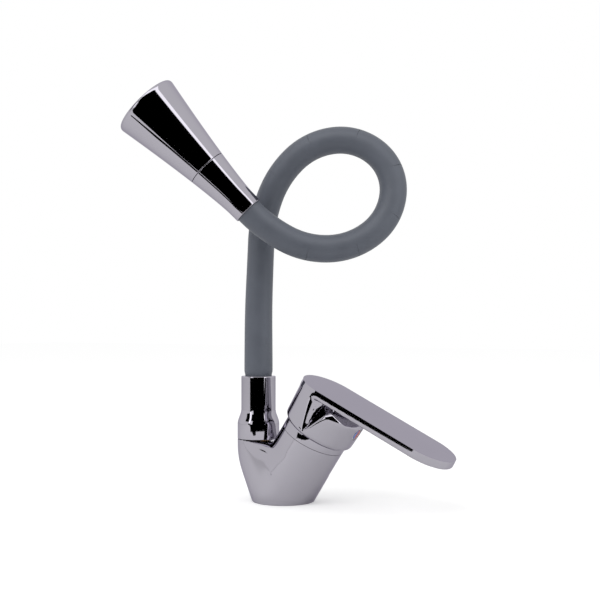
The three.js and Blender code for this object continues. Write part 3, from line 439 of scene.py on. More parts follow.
def modelled(name, places, faces, place, ends):
    """A piece from a skin, cut off flat at its ends."""
    shape = bmesh.new()
    corners = [shape.verts.new(tuple(p)) for p in places]
    for face in faces:
        shape.faces.new([corners[i] for i in face])
    for point, normal in ends:
        bmesh.ops.edgeloop_fill(shape, edges=cut_along(shape, point, normal))
    return as_piece(name, shape, in_mm @ place)


def applied(piece, modifier):
    """The mesh that a piece becomes by its modifier, which then comes off."""
    bpy.context.view_layer.update()
    mesh = bpy.data.meshes.new_from_object(piece.evaluated_get(bpy.context.evaluated_depsgraph_get()))
    piece.modifiers.remove(modifier)
    return mesh


def less(piece, *cutters, operation="DIFFERENCE"):
    """Takes cutters out of a piece, or joins them to it."""
    for cutter in cutters:
        tool = piece.modifiers.new("bore", "BOOLEAN")
        tool.operation = operation
        tool.solver = "EXACT"
        tool.object = cutter
        piece.data = applied(piece, tool)
        bpy.data.objects.remove(cutter)


def polished(piece, form, place, soften, tolerance=0.04, alike=0.8, facing=0.75):
    """Gives the outer faces of a piece the form's own smooth normals, each averaged a few times with alike
    neighbours. Faces that don't face the same way keep their own, so cut edges stay crisp."""
    mesh = piece.data
    mesh.shade_smooth()
    mesh.set_sharp_from_angle(angle=CRISP_ANGLE)
    places = np.empty(len(mesh.vertices) * 3)
    mesh.vertices.foreach_get("co", places)
    back = (in_mm @ place).inverted()
    local = places.reshape(-1, 3) @ np.array(back.to_3x3()).T + np.array(back.translation)
    depth = form(local)
    on_skin = np.abs(depth[:, 0]) < tolerance
    direction = depth[:, 1:] / np.maximum(np.linalg.norm(depth[:, 1:], axis=1), 1e-9)[:, None]
    ends = np.empty(len(mesh.edges) * 2, dtype=int)
    mesh.edges.foreach_get("vertices", ends)
    ends = ends.reshape(-1, 2)
    agreement = (direction[ends[:, 0]] * direction[ends[:, 1]]).sum(axis=1)
    ends = ends[on_skin[ends].all(axis=1) & (agreement > alike)]
    for _ in range(soften):
        total = direction.copy()
        np.add.at(total, ends[:, 0], direction[ends[:, 1]])
        np.add.at(total, ends[:, 1], direction[ends[:, 0]])
        direction = total / np.maximum(np.linalg.norm(total, axis=1), 1e-9)[:, None]
    direction = direction @ np.array(place.to_3x3()).T
    normals = np.zeros((len(mesh.loops), 3))
    for face in mesh.polygons:
        corners = list(face.vertices)
        if on_skin[corners].all() and (direction[corners] @ np.array(face.normal)).min() > facing:
            normals[list(face.loop_indices)] = direction[corners]
    mesh.normals_split_custom_set([tuple(n) for n in normals])


def rounded(corners, steps=5, slight=0.02):
    """The closed outline of (radius, height, edge radius) corners with each edge eased by a curve. Edges
    that bend less than slight, in radians, stay as they are."""
    count = len(corners)
    outline = []
    for i in range(count):
        before, here, after = (np.array(corners[(i + k) % count][:2]) for k in (-1, 0, 1))
        ease = corners[i][2] if len(corners[i]) > 2 else 0
        into, out = here - before, after - here
        into, out = into / np.linalg.norm(into), out / np.linalg.norm(out)
        bend = math.acos(max(-1, min(1, float(into @ out))))
        if ease <= 0 or bend < slight:
            outline.append(tuple(here))
            continue
        reach = ease * math.tan(bend / 2)
        start, end = here - into * reach, here + out * reach
        for k in range(steps + 1):
            share = k / steps
            corner_pull = 2 * share * (1 - share)
            outline.append(tuple(start * (1 - share) ** 2 + here * corner_pull + end * share ** 2))
    return outline


def turned(name, outline, place=Matrix.Identity(4), segments=192):
    """A closed outline of (radius, height) pairs turned about Z, with its sharp edges kept."""
    shape = bmesh.new()
    rings = []
    for radius, height in outline:
        if radius == 0:
            rings.append([shape.verts.new((0, 0, height))] * segments)
        else:
            rings.append([shape.verts.new(p) for p in ring_points(radius, height, segments)])
    for lower, upper in zip(rings, rings[1:] + rings[:1]):
        for k in range(segments):
            corners = [lower[k], lower[(k + 1) % segments], upper[(k + 1) % segments], upper[k]]
            corners = [v for i, v in enumerate(corners) if v not in corners[:i]]
            if len(corners) > 2:
                shape.faces.new(corners)
    piece = as_piece(name, shape, place)
    piece.data.shade_smooth()
    piece.data.set_sharp_from_angle(angle=CRISP_ANGLE)
    return piece


def rod_cutter(radius, foot, top, place, segments=64):
    """A rod, in millimetres, for a hole."""
    return turned("cutter", [(0, foot), (radius, foot), (radius, top), (0, top)], in_mm @ place, segments)


BASE_RADIUS, BASE_EDGE, BRANCH_TOP = 23.8, 1.2, 45
SPOUT_OUT, BRANCH_OUT, BARREL_RADIUS, BARREL_END = 22, 15.8, 24, 74
WEB_CORNER, WEB_SPREAD, BRANCH_SHOULDER, TAPER_STEPS = 30.6, 0.32, 41, 8
RIM_HEIGHT, RIM_TILT = 57.5, math.radians(5.1)
CREASE_FOOT, CREASE_END, CREASE_STEPS = 12, 44, 5
CREASE_FORWARD, CREASE_SLOPE, CREASE_OUT = 6.7, 0.1065, 24.15
WEB_EASE, BARREL_EASE, BRANCH_FILLET = 0.04, 0.05, 0.8
SHOULDER_EDGE, SHOULDER_SWEEP, SWEEP_START, SWEEP_RUN = 0.15, 3.2, -27, 14
CASTING_BOX = (-40, -27, -3.6), (51, 27, 72)
CARTRIDGE_FLOOR, CARTRIDGE_BORE, NUT_SEAT, NUT_BORE, PAST_RIM = 33.5, 17.6, 46.7, 19.8, 70
SPOUT_FLOOR, SPOUT_BORE, PAST_BRANCH = 14, 8.3, 50
GROOVE_INSIDE, GROOVE_OUTSIDE, GROOVE_DEPTH, UNDER_FOOT = 17.5, 21.5, 2, -1
STUD_OUT, STUD_HOLE, STUD_DEPTH = -12, 3.4, 10
INLET_PLACES, INLET_HOLE, INLET_DEPTH = ((6, 8.5, 0), (6, -8.5, 0)), 5, 12
CASTING_SOFTENING = 24
to_barrel = barrel_place.inverted()
barrel_turn, barrel_move = np.array(to_barrel.to_3x3()), np.array(to_barrel.translation)


def crease_points(heights):
    """The faint crease up each side, which fades out on the barrel."""
    points = []
    for height in heights:
        forward = CREASE_FORWARD - CREASE_SLOPE * (height - CREASE_FOOT)
        faded = ((height - CREASE_FOOT) / (CREASE_END - CREASE_FOOT)) ** 2
        out = CREASE_OUT + (math.sqrt(BARREL_RADIUS ** 2 - forward ** 2) - CREASE_OUT) * faded
        points += [(forward, side * out, height) for side in (1, -1)]
    return points


web_points = ring_points(BASE_RADIUS - 3 * BASE_EDGE, -2 * BASE_EDGE) + ring_points(BASE_RADIUS, BASE_EDGE)
web_points += ring_points(BASE_RADIUS - 0.25 * BASE_EDGE, 0.4 * BASE_EDGE)
web_points += ring_points(BRANCH_OUT, BRANCH_TOP, centre=-SPOUT_OUT)
taper_top = WEB_CORNER - (WEB_CORNER - BASE_EDGE) * WEB_SPREAD
for i in range(TAPER_STEPS + 1):
    share = i / TAPER_STEPS
    rest = 1 - share
    height = taper_top * rest ** 2 + 2 * WEB_CORNER * share * rest + BRANCH_SHOULDER * share ** 2
    spread = WEB_SPREAD * rest ** 2
    back = -(SPOUT_OUT + BRANCH_OUT) * (1 - spread) - BASE_RADIUS * spread
    radius = BRANCH_OUT + (BASE_RADIUS - BRANCH_OUT) * spread
    web_points += ring_points(radius, height, centre=back + radius)
back_lift = BARREL_RADIUS * math.sin(BARREL_LEAN)
web_points += ring_points(BARREL_RADIUS, (BRANCH_TOP - back_lift) / math.cos(BARREL_LEAN), place=barrel_place)
crease = crease_points(np.linspace(CREASE_FOOT, CREASE_END, CREASE_STEPS))
web_points += [tuple(barrel_place @ Vector(p)) for p in crease]
web = faces_round(web_points)
barrel_foot = BRANCH_TOP * math.cos(BARREL_LEAN) - back_lift
barrel_points = ring_points(BARREL_RADIUS, barrel_foot, 128) + ring_points(BARREL_RADIUS, BARREL_END, 128)
barrel = faces_round(barrel_points)


def casting_form(places):
    """The upright web between the branches, cut level at its shoulder, joined to the leaning barrel."""
    leaning = inside_of(barrel, places @ barrel_turn.T + barrel_move, BARREL_EASE)
    leaning[:, 1:] = leaning[:, 1:] @ barrel_turn
    upright = inside_of(web, places, WEB_EASE)
    shoulder = np.zeros_like(upright)
    shoulder[:, 0] = places[:, 2] - BRANCH_TOP
    shoulder[:, 3] = 1
    edge = SHOULDER_EDGE + SHOULDER_SWEEP * np.clip((places[:, 0] - SWEEP_START) / SWEEP_RUN, 0, 1)
    return joined(-joined(-upright, -shoulder, edge), leaning, BRANCH_FILLET)


rim_normal = Vector((-math.sin(RIM_TILT), 0, math.cos(RIM_TILT)))
casting = modelled("casting", *skinned(casting_form, *CASTING_BOX), Matrix.Identity(4), (
    ((0, 0, 0), (0, 0, -1)),
    (barrel_place @ Vector((0, 0, RIM_HEIGHT)), barrel_place.to_3x3() @ rim_normal)))
cartridge_room = [(0, CARTRIDGE_FLOOR), (CARTRIDGE_BORE, CARTRIDGE_FLOOR), (CARTRIDGE_BORE, NUT_SEAT),
                  (NUT_BORE, NUT_SEAT), (NUT_BORE, PAST_RIM), (0, PAST_RIM)]
gasket_groove = [(GROOVE_INSIDE, UNDER_FOOT), (GROOVE_OUTSIDE, UNDER_FOOT), (GROOVE_OUTSIDE, GROOVE_DEPTH),
                 (GROOVE_INSIDE, GROOVE_DEPTH)]
less(casting,
     turned("cutter", cartridge_room, in_mm @ barrel_place, 128),
     rod_cutter(SPOUT_BORE, SPOUT_FLOOR, PAST_BRANCH, Matrix.Translation((-SPOUT_OUT, 0, 0)), 96),
     turned("cutter", gasket_groove, in_mm, 128),
     rod_cutter(STUD_HOLE, UNDER_FOOT, STUD_DEPTH, Matrix.Translation((STUD_OUT, 0, 0))),
     *[rod_cutter(INLET_HOLE, UNDER_FOOT, INLET_DEPTH, Matrix.Translation(p)) for p in INLET_PLACES])
polished(casting, casting_form, Matrix.Identity(4), CASTING_SOFTENING)
casting.data.materials.append(chrome)
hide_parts("body_casting")
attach(casting, "base")
rubber = finish("black_rubber", (0.012, 0.012, 0.013), 0.62, tint=0.3, rough_swing=0.12, haze=120, grain=1800,
                bump=0.25, depth=0.0001)
dress(rubber, "rubber", "base_gasket")


# Shroud ring. A turned and chromed ring on the casting's slanting rim, screwed in by its spigot. Its dome
# runs up under the handle's skirt and hides the cartridge.
DOME_CENTRE, DOME_RADIUS, DOME_WALL = 57.6, 25.1, 2
SHROUD_BLANK_FOOT, SHROUD_GAP, SHROUD_BORE, SHROUD_MOUTH = 50, 0.3, 17.3, 17.5
LEDGE_RADIUS, LEDGE_HEIGHT = 19.8, 59.6
SHROUD_CRISP_ANGLE = math.radians(30)
SPIGOT_FOOT, SPIGOT_TOP, SPIGOT_RADIUS = 54.3, 59.2, 19.5


def dome_arc(radius, start, end, steps):
    """Points of a dome's profile between two distances from the axis."""
    distances = [start + (end - start) * i / steps for i in range(steps + 1)]
    return [(r, DOME_CENTRE + math.sqrt(radius ** 2 - r ** 2)) for r in distances]


blank = turned("blank", [
    (SHROUD_BORE, SHROUD_BLANK_FOOT), (BARREL_RADIUS, SHROUD_BLANK_FOOT),
    *dome_arc(DOME_RADIUS, BARREL_RADIUS, SHROUD_MOUTH, 16),
    *dome_arc(DOME_RADIUS - DOME_WALL, SHROUD_MOUTH, LEDGE_RADIUS, 6), (SHROUD_BORE, LEDGE_HEIGHT)],
    segments=256)
shape = bmesh.new()
shape.from_mesh(blank.data)
bpy.data.objects.remove(blank)
bmesh.ops.bridge_loops(shape, edges=cut_along(shape, (0, 0, RIM_HEIGHT + SHROUD_GAP), -rim_normal))
shroud = as_piece("shroud", shape, in_mm @ barrel_place)
spigot = [(SHROUD_BORE, SPIGOT_FOOT), (SPIGOT_RADIUS, SPIGOT_FOOT), (SPIGOT_RADIUS, SPIGOT_TOP),
          (SHROUD_BORE, SPIGOT_TOP)]
less(shroud, turned("cutter", spigot, in_mm @ barrel_place, 256), operation="UNION")
shroud.data.shade_smooth()
shroud.data.set_sharp_from_angle(angle=SHROUD_CRISP_ANGLE)
shroud.data.materials.append(chrome)
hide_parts("shroud_ring")
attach(shroud, "base")


# Handle. One casting in chromed zinc: a hub that turns over the shroud's dome, a neck up its back, and the
# flat lever that the neck carries. A pointed groove on each side parts the neck from the hub.
SKIRT_FOOT, SKIRT_CHAMFER, SKIRT_RADIUS = 65, 1.6, 27.1
HUB_SHOULDER, HUB_SHOULDER_RADIUS, HUB_TOP, HUB_TOP_RADIUS = 84.5, 27.9, 93, 14
LEVER_TOP, LEVER_TILT, LEVER_THICKNESS = 97, math.radians(7.2), 6.3
LEVER_HALF_WIDTH, LEVER_BACK, LEVER_REACH, LEVER_ROUNDING = 23, 29.5, 97.8, 1.4
GROOVE_FOOT, GROOVE_TOP, GROOVE_RADIUS = np.array((0.7, 27.4, 66.6)), np.array((1.5, 24.5, 91)), 7.3
GROOVE_EDGE, GROOVE_EDGE_GROWTH, GROWTH_START, GROWTH_RUN = 0.6, 4.6, 67, 18
NECK_FRONT, LEVER_INSIDE, ABOVE_LEVER, NEARLY_NONE = 1, -20, 4, 1e-6
HUB_EASE, NECK_EASE, LEVER_EASE, NECK_BLEND, LEVER_FILLET = 0.15, 0.05, 0.1, 0.6, 1.2
HANDLE_BOX = (-34, -30.5, 61), (102, 30.5, 113)
ROOM_FOOT, ROOM_MOUTH, ROOM_RADIUS, ROOM_DIP, ROOM_TOP, STEM_ROOM = 45, 22.3, 25.6, -0.5, 77, 7.5
SOCKET_MIDDLE, SOCKET_WIDTH, SOCKET_HEIGHT = 79.75, 8.6, 9.5
SCREW_HEIGHT, SCREW_HOLE, SCREW_REACH = 80.7, 2.6, 27
PLUG_HOLE, PLUG_FLOOR, PLUG_MOUTH = 4.8, 24.24, 30
skirt_edge = ((SKIRT_RADIUS - 4 * SKIRT_CHAMFER, SKIRT_FOOT - 3 * SKIRT_CHAMFER),
              (SKIRT_RADIUS - 0.35 * SKIRT_CHAMFER, SKIRT_FOOT + 0.65 * SKIRT_CHAMFER),
              (SKIRT_RADIUS, SKIRT_FOOT + 1.3 * SKIRT_CHAMFER))
lever_place = Matrix.Translation((0, 0, LEVER_TOP)) @ Matrix.Rotation(-LEVER_TILT, 4, "Y")
to_lever = lever_place.inverted()
lever_turn, lever_move = np.array(to_lever.to_3x3()), np.array(to_lever.translation)


def profile_lines(points):
    """The lines of a convex outline, as directions and distances."""
    lines = []
    for (r0, h0), (r1, h1) in zip(points, points[1:]):
        run = math.hypot(r1 - r0, h1 - h0)
        out, up = (h1 - h0) / run, -(r1 - r0) / run
        lines.append((out, up, out * r0 + up * h0))
    lines = np.array(lines)
    return lines[:, :2], lines[:, 2]


hub_outline = [*skirt_edge, (HUB_SHOULDER_RADIUS, HUB_SHOULDER)]
for i in range(1, 11):
    turn = math.pi / 20 * i
    hub_outline.append((HUB_TOP_RADIUS + (HUB_SHOULDER_RADIUS - HUB_TOP_RADIUS) * math.cos(turn),
                        HUB_SHOULDER + (HUB_TOP - HUB_SHOULDER) * math.sin(turn)))
hub_lines = profile_lines(hub_outline + [(0, HUB_TOP)])
lever_outline = [(-LEVER_ROUNDING * (1 - math.sin(math.pi / 24 * i)),
                  -LEVER_THICKNESS + LEVER_ROUNDING * (1 - math.cos(math.pi / 24 * i))) for i in range(13)]
lever_lines = profile_lines([(LEVER_INSIDE, -LEVER_THICKNESS), *lever_outline, (0, ABOVE_LEVER)])
neck_points = []
for i in range(49):
    turn = math.pi / 2 + math.pi / 48 * i
    across, aside = math.cos(turn), math.sin(turn)
    neck_points += [(r * across, r * aside, h) for r, h in skirt_edge]
    neck_points.append(tuple(lever_place @ Vector((
        LEVER_HALF_WIDTH * (across + 1) - LEVER_BACK, LEVER_HALF_WIDTH * aside, -LEVER_THICKNESS / 2))))
for side in (1, -1):
    neck_points += [(NECK_FRONT, side * r, h) for r, h in (skirt_edge[0], skirt_edge[-1])]
    under_lever = Vector((NECK_FRONT, side * LEVER_HALF_WIDTH, -LEVER_THICKNESS / 2))
    neck_points.append(tuple(lever_place @ under_lever))
neck = faces_round(neck_points)


def by_profile(lines, across, up, across_direction, up_direction, ease):
    """The depth in a form that one outline gives, with its direction in space."""
    normals, depths = lines
    flat = eased(np.column_stack([across, up]) @ normals.T - depths, normals, ease)
    direction = flat[:, 1:2] * across_direction + flat[:, 2:3] * up_direction
    return np.column_stack([flat[:, 0], direction])


def handle_form(places):
    """The hub, its back cut away for the neck, less a cone on each side for the groove, under the lever."""
    upward = np.zeros_like(places)
    upward[:, 2] = 1
    radius = np.maximum(np.hypot(places[:, 0], places[:, 1]), NEARLY_NONE)
    outward = np.column_stack([places[:, 0] / radius, places[:, 1] / radius, np.zeros(len(places))])
    hub = by_profile(hub_lines, radius, places[:, 2], outward, upward, HUB_EASE)
    behind = np.column_stack([-places[:, 0], -np.ones(len(places)), np.zeros((len(places), 2))])
    hub = np.where((behind[:, 0] > hub[:, 0])[:, None], behind, hub)
    body = joined(hub, inside_of(neck, places, NECK_EASE), NECK_BLEND)

    side = np.where(places[:, 1] < 0, -1.0, 1.0)
    mirrored = np.column_stack([places[:, 0], places[:, 1] * side, places[:, 2]])
    along = GROOVE_TOP - GROOVE_FOOT
    length = np.linalg.norm(along)
    along = along / length
    reach = (mirrored - GROOVE_FOOT) @ along
    spoke = mirrored - GROOVE_FOOT - reach[:, None] * along
    spoke_length = np.maximum(np.linalg.norm(spoke, axis=1), NEARLY_NONE)
    steepness = GROOVE_RADIUS / length
    cosine = 1 / math.hypot(1, steepness)
    groove = np.column_stack([(spoke_length - np.maximum(reach, 0) * steepness) * cosine,
                              (spoke / spoke_length[:, None] - steepness * along) * cosine])
    groove[:, 2] *= side
    growth = np.clip((places[:, 2] - GROWTH_START) / GROWTH_RUN, 0, 1)
    body = cut(body, groove, GROOVE_EDGE + GROOVE_EDGE_GROWTH * growth)

    in_lever = places @ lever_turn.T + lever_move
    nearest = np.clip(in_lever[:, 0], LEVER_HALF_WIDTH - LEVER_BACK, LEVER_REACH - LEVER_HALF_WIDTH)
    from_line = np.column_stack([in_lever[:, 0] - nearest, in_lever[:, 1], np.zeros(len(places))])
    distance = np.maximum(np.linalg.norm(from_line, axis=1), NEARLY_NONE)
    sideways = from_line / distance[:, None]
    lever = by_profile(lever_lines, distance - LEVER_HALF_WIDTH, in_lever[:, 2], sideways, upward, LEVER_EASE)
    lever[:, 1:] = lever[:, 1:] @ lever_turn
    return joined(body, lever, LEVER_FILLET)


handle = modelled("handle_casting", *skinned(handle_form, *HANDLE_BOX), barrel_place, (
    ((0, 0, SKIRT_FOOT), (0, 0, -1)),
    ((0, 0, LEVER_TOP), lever_place.to_3x3() @ Vector((0, 0, 1)))))
room = [(0, ROOM_FOOT), (ROOM_MOUTH, ROOM_FOOT)]
for angle in np.linspace(ROOM_DIP, math.acos(STEM_ROOM / ROOM_RADIUS), 40):
    room.append((ROOM_RADIUS * math.cos(angle), DOME_CENTRE + ROOM_RADIUS * math.sin(angle)))
room += [(STEM_ROOM, ROOM_TOP), (0, ROOM_TOP)]
shape = bmesh.new()
bmesh.ops.create_cube(shape, size=1, matrix=Matrix.Translation((0, 0, SOCKET_MIDDLE))
                      @ Matrix.Diagonal((SOCKET_WIDTH, SOCKET_WIDTH, SOCKET_HEIGHT, 1)))
socket = as_piece("cutter", shape, in_mm @ barrel_place)
forward = barrel_place @ Matrix.Translation((0, 0, SCREW_HEIGHT)) @ Matrix.Rotation(math.pi / 2, 4, "Y")
less(handle, turned("cutter", room, in_mm @ barrel_place, 128), socket,
     rod_cutter(SCREW_HOLE, 0, SCREW_REACH, forward), rod_cutter(PLUG_HOLE, PLUG_FLOOR, PLUG_MOUTH, forward))
polished(handle, handle_form, barrel_place, 1)
handle.data.materials.append(chrome)
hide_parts("handle")
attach(handle, "lever")


# Indicator. A small moulded plug pressed into the front of the hub, over the grub screw's hole. Its red half
# stands for hot and its blue half for cold.
white_plastic = finish("white_plastic", (0.72, 0.72, 0.71), 0.38, tint=0.04, haze=90, grain=1600, bump=0.12)
red_plastic = finish("red_enamel", (0.45, 0.02, 0.03), 0.25, tint=0.1, haze=200, grain=2500, bump=0.08)
blue_plastic = finish("blue_enamel", (0.02, 0.09, 0.40), 0.25, tint=0.1, haze=200, grain=2500, bump=0.08)
dress(white_plastic, "white_plastic", "indicator_plug")
dress(red_plastic, "red_plastic", "indicator_red")
dress(blue_plastic, "blue_plastic", "indicator_blue")


# Spout collar. A turned and chromed brass sleeve, flared at its foot, that swivels on the upright branch and
# grips the end of the hose.
SPOUT_OFFSET, BRANCH_RADIUS = SPOUT_OUT * MM, BRANCH_OUT * MM
COLLAR_FOOT, COLLAR_TOP, COLLAR_RADIUS = 0.0453, 0.0923, 0.013
COLLAR_BORE, BORE_TOP, HOSE_STOP = 0.0137, 0.0593, 0.0613
FLARE_LIFT, FLARE_HEIGHT, FLARE_STEPS = 0.011, 0.011, 16
TOP_EDGE = 0.0012
SLEEVE_RADIUS = 0.010
GAP = 0.0003

flare = []
for i in range(FLARE_STEPS + 1):
    share = i / FLARE_STEPS
    ease = share * share * (3 - 2 * share)
    flare.append((BRANCH_RADIUS + (COLLAR_RADIUS - BRANCH_RADIUS) * ease,
                  COLLAR_FOOT + FLARE_LIFT + FLARE_HEIGHT * share))
spout_place = Matrix.Translation((-SPOUT_OFFSET, 0, 0))
collar = turned("collar", rounded([
    (COLLAR_BORE, COLLAR_FOOT, 0.0002), (BRANCH_RADIUS, COLLAR_FOOT, 0.0004), *flare,
    (COLLAR_RADIUS, COLLAR_TOP - TOP_EDGE), (COLLAR_RADIUS, COLLAR_TOP, 0.0008),
    (SLEEVE_RADIUS + GAP, COLLAR_TOP, 0.0003), (SLEEVE_RADIUS + GAP, HOSE_STOP), (COLLAR_BORE, BORE_TOP)]),
    spout_place)
collar.data.materials.append(chrome)
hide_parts("spout_collar")
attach(collar, "spout_foot")
brass = finish("turned_brass", (0.47, 0.30, 0.10), 0.28, metallic=1, tint=0.12, rough_swing=0.08, haze=80,
               grain=1400, streak=6, bump=0.2)
steel = finish("plain_steel", (0.42, 0.42, 0.43), 0.3, metallic=1, tint=0.1, rough_swing=0.1, haze=120,
               grain=1600, bump=0.15)
dress(brass, "brass", "spout_nipple")
dress(white_plastic, "white_plastic", "glide_ring")
dress(rubber, "rubber", "nipple_seal_upper", "nipple_seal_lower")
dress(steel, "steel", "spout_circlip", "ferrule_lower")


# Hose. A moulded silicone sleeve, matt slate grey, over a core that stays where it is bent. It leaves the
# collar straight up, makes one loop towards the lever and crosses itself on its way to the spray head. Each
# of its equal links bends by the degrees given, and the loop leans a little towards the camera.
HOSE_LENGTH = 0.4069
HOSE_BENDS = (0, 2.3, 0.3, 17.5, 26.3, 38.8, 46.7, 52.8, 45.1, 36.2, 32, 17.8)
HOSE_STEPS = 24
HOSE_LEAN = math.radians(9.5)
HOSE_WALL = 0.0032
SEAT_IN_COLLAR, SEAT_IN_HEAD = 0.016, 0.008
HOSE_SWELL, SWELL_RISE, SWELL_LENGTH = 0.0007, 0.004, 0.105
HOSE_SIDES, SECTION_LENGTH = 64, 0.0012
SLEEVE_CRISP_ANGLE = math.radians(40)

link_count = len(HOSE_BENDS)
link_length = HOSE_LENGTH / link_count


def heading(turn, lean):
    """The way the hose runs when it is turned up from the right and leans towards the camera."""
    return (IMAGE_RIGHT * math.cos(turn) + Vector((0, 0, math.sin(turn)))) * math.cos(lean) \
        + TOWARDS_CAMERA * math.sin(lean)


def lean_at(share):
    """The lean at a share of the length: none in the first link, most in the middle of the others."""
    return HOSE_LEAN * math.sin(math.pi * max(0, (share - 1 / link_count) / (1 - 1 / link_count)))


route, directions = [Vector((-SPOUT_OFFSET, 0, COLLAR_TOP))], [heading(math.pi / 2, 0)]
turn = math.pi / 2
all_steps = link_count * HOSE_STEPS
for i in range(all_steps):
    bend = math.radians(HOSE_BENDS[i // HOSE_STEPS]) / HOSE_STEPS
    step = heading(turn - bend / 2, lean_at((i + 0.5) / all_steps)) * (link_length / HOSE_STEPS)
    route.append(route[-1] + step)
    turn -= bend
    directions.append(heading(turn, lean_at((i + 1) / all_steps)))

hose_line = bpy.data.curves.new("hose_route", "CURVE")
hose_line.dimensions = "3D"
spline = hose_line.splines.new("POLY")
seated = [route[0] - directions[0] * SEAT_IN_COLLAR] + route + [route[-1] + directions[-1] * SEAT_IN_HEAD]
spline.points.add(len(seated) - 1)
for point, place in zip(spline.points, seated):
    point.co = (*place, 1)
hose_route = bpy.data.objects.new("hose_route", hose_line)
scene.collection.objects.link(hose_route)


def sleeve_tree():
    """Sweeps the sleeve's outside along the route between two lengths, a little swollen above its seat."""
    tree = bpy.data.node_groups.new("hose_sleeve", "GeometryNodeTree")
    tree.interface.new_socket("Geometry", in_out="INPUT", socket_type="NodeSocketGeometry")
    sizes = {}
    for name, kind in (("From", "NodeSocketFloat"), ("To", "NodeSocketFloat"), ("Radius", "NodeSocketFloat"),
                       ("Swell", "NodeSocketFloat"), ("Seat", "NodeSocketFloat"),
                       ("Swell Rise", "NodeSocketFloat"), ("Swell Length", "NodeSocketFloat"),
                       ("Sides", "NodeSocketInt"), ("Sections", "NodeSocketInt"),
                       ("Finish", "NodeSocketMaterial")):
        sizes[name] = tree.interface.new_socket(name, in_out="INPUT", socket_type=kind)
    tree.interface.new_socket("Geometry", in_out="OUTPUT", socket_type="NodeSocketGeometry")
    nodes, links = tree.nodes, tree.links
    given, result = nodes.new("NodeGroupInput"), nodes.new("NodeGroupOutput")
    trim = nodes.new("GeometryNodeTrimCurve")
    trim.mode = "LENGTH"
    links.new(given.outputs["Geometry"], trim.inputs["Curve"])
    for given_name, socket_name in (("From", "Start"), ("To", "End")):
        length_socket = [s for s in trim.inputs if s.name == socket_name][-1]
        links.new(given.outputs[given_name], length_socket)
    sections = nodes.new("GeometryNodeResampleCurve")
    links.new(trim.outputs[0], sections.inputs["Curve"])
    links.new(given.outputs["Sections"], sections.inputs["Count"])
    along = nodes.new("GeometryNodeSplineParameter")
    from_start = maths(tree, "ADD", along.outputs["Length"], given.outputs["From"])
    above_seat = maths(tree, "SUBTRACT", from_start, given.outputs["Seat"])
    rise = nodes.new("ShaderNodeMapRange")
    rise.interpolation_type = "SMOOTHSTEP"
    links.new(above_seat, rise.inputs["Value"])
    links.new(given.outputs["Swell Rise"], rise.inputs["From Max"])
    swell = nodes.new("ShaderNodeMapRange")
    swell.interpolation_type = "SMOOTHSTEP"
    links.new(above_seat, swell.inputs["Value"])
    links.new(given.outputs["Swell Length"], swell.inputs["From Max"])
    links.new(given.outputs["Swell"], swell.inputs["To Min"])
    swell.inputs["To Max"].default_value = 0
    radius = maths(tree, "MULTIPLY_ADD", swell.outputs["Result"], rise.outputs["Result"],
                   given.outputs["Radius"])
    ring = nodes.new("GeometryNodeCurvePrimitiveCircle")
    links.new(given.outputs["Sides"], ring.inputs["Resolution"])
    ring.inputs["Radius"].default_value = 1
    sweep = nodes.new("GeometryNodeCurveToMesh")
    links.new(sections.outputs[0], sweep.inputs["Curve"])
    links.new(ring.outputs[0], sweep.inputs["Profile Curve"])
    links.new(radius, sweep.inputs["Scale"])
    real = nodes.new("GeometryNodeRealizeInstances")
    links.new(sweep.outputs[0], real.inputs[0])
    painted = nodes.new("GeometryNodeSetMaterial")
    links.new(real.outputs[0], painted.inputs["Geometry"])
    links.new(given.outputs["Finish"], painted.inputs["Material"])
    links.new(painted.outputs[0], result.inputs["Geometry"])
    return tree, {name: socket.identifier for name, socket in sizes.items()}


silicone = finish("slate_silicone", (0.088, 0.098, 0.122), 0.5, rough_swing=0.06, haze=60, grain=2600,
                  bump=0.3, depth=0.00006, specular=0.42)
SLEEVE_TREE, SLEEVE_INPUTS = sleeve_tree()
for n in range(link_count - 1):
    begin = 0 if n == 0 else SEAT_IN_COLLAR + (n + 0.5) * link_length
    end = SEAT_IN_COLLAR + (n + 1.5) * link_length
    if n == link_count - 2:
        end = SEAT_IN_COLLAR + HOSE_LENGTH + SEAT_IN_HEAD
    sweep = hose_route.modifiers.new("sleeve", "NODES")
    sweep.node_group = SLEEVE_TREE
    for name, value in (("From", begin), ("To", end), ("Radius", SLEEVE_RADIUS), ("Swell", HOSE_SWELL),
                        ("Seat", SEAT_IN_COLLAR), ("Swell Rise", SWELL_RISE), ("Swell Length", SWELL_LENGTH),
                        ("Sides", HOSE_SIDES), ("Sections", 1 + round((end - begin) / SECTION_LENGTH)),
                        ("Finish", silicone)):
        sweep[SLEEVE_INPUTS[name]] = value
    skin = bpy.data.objects.new(f"hose_{n + 1:02d}", applied(hose_route, sweep))
    scene.collection.objects.link(skin)
    wall = skin.modifiers.new("wall", "SOLIDIFY")
    wall.thickness = HOSE_WALL
    wall.offset = -1
    wall.use_even_offset = True
    skin.data = applied(skin, wall)
    skin.data.shade_smooth()
    skin.data.set_sharp_from_angle(angle=SLEEVE_CRISP_ANGLE)
    along = directions[(n + 1) * HOSE_STEPS]
    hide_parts(*[f"sleeve_link_{k:02d}" for k in ((n + 1,) if n < link_count - 2 else (n + 1, n + 2))])
    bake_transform(skin)
bpy.data.objects.remove(hose_route)
dress(steel, "steel", *[f"core_link_{n:02d}" for n in range(1, link_count + 1)])


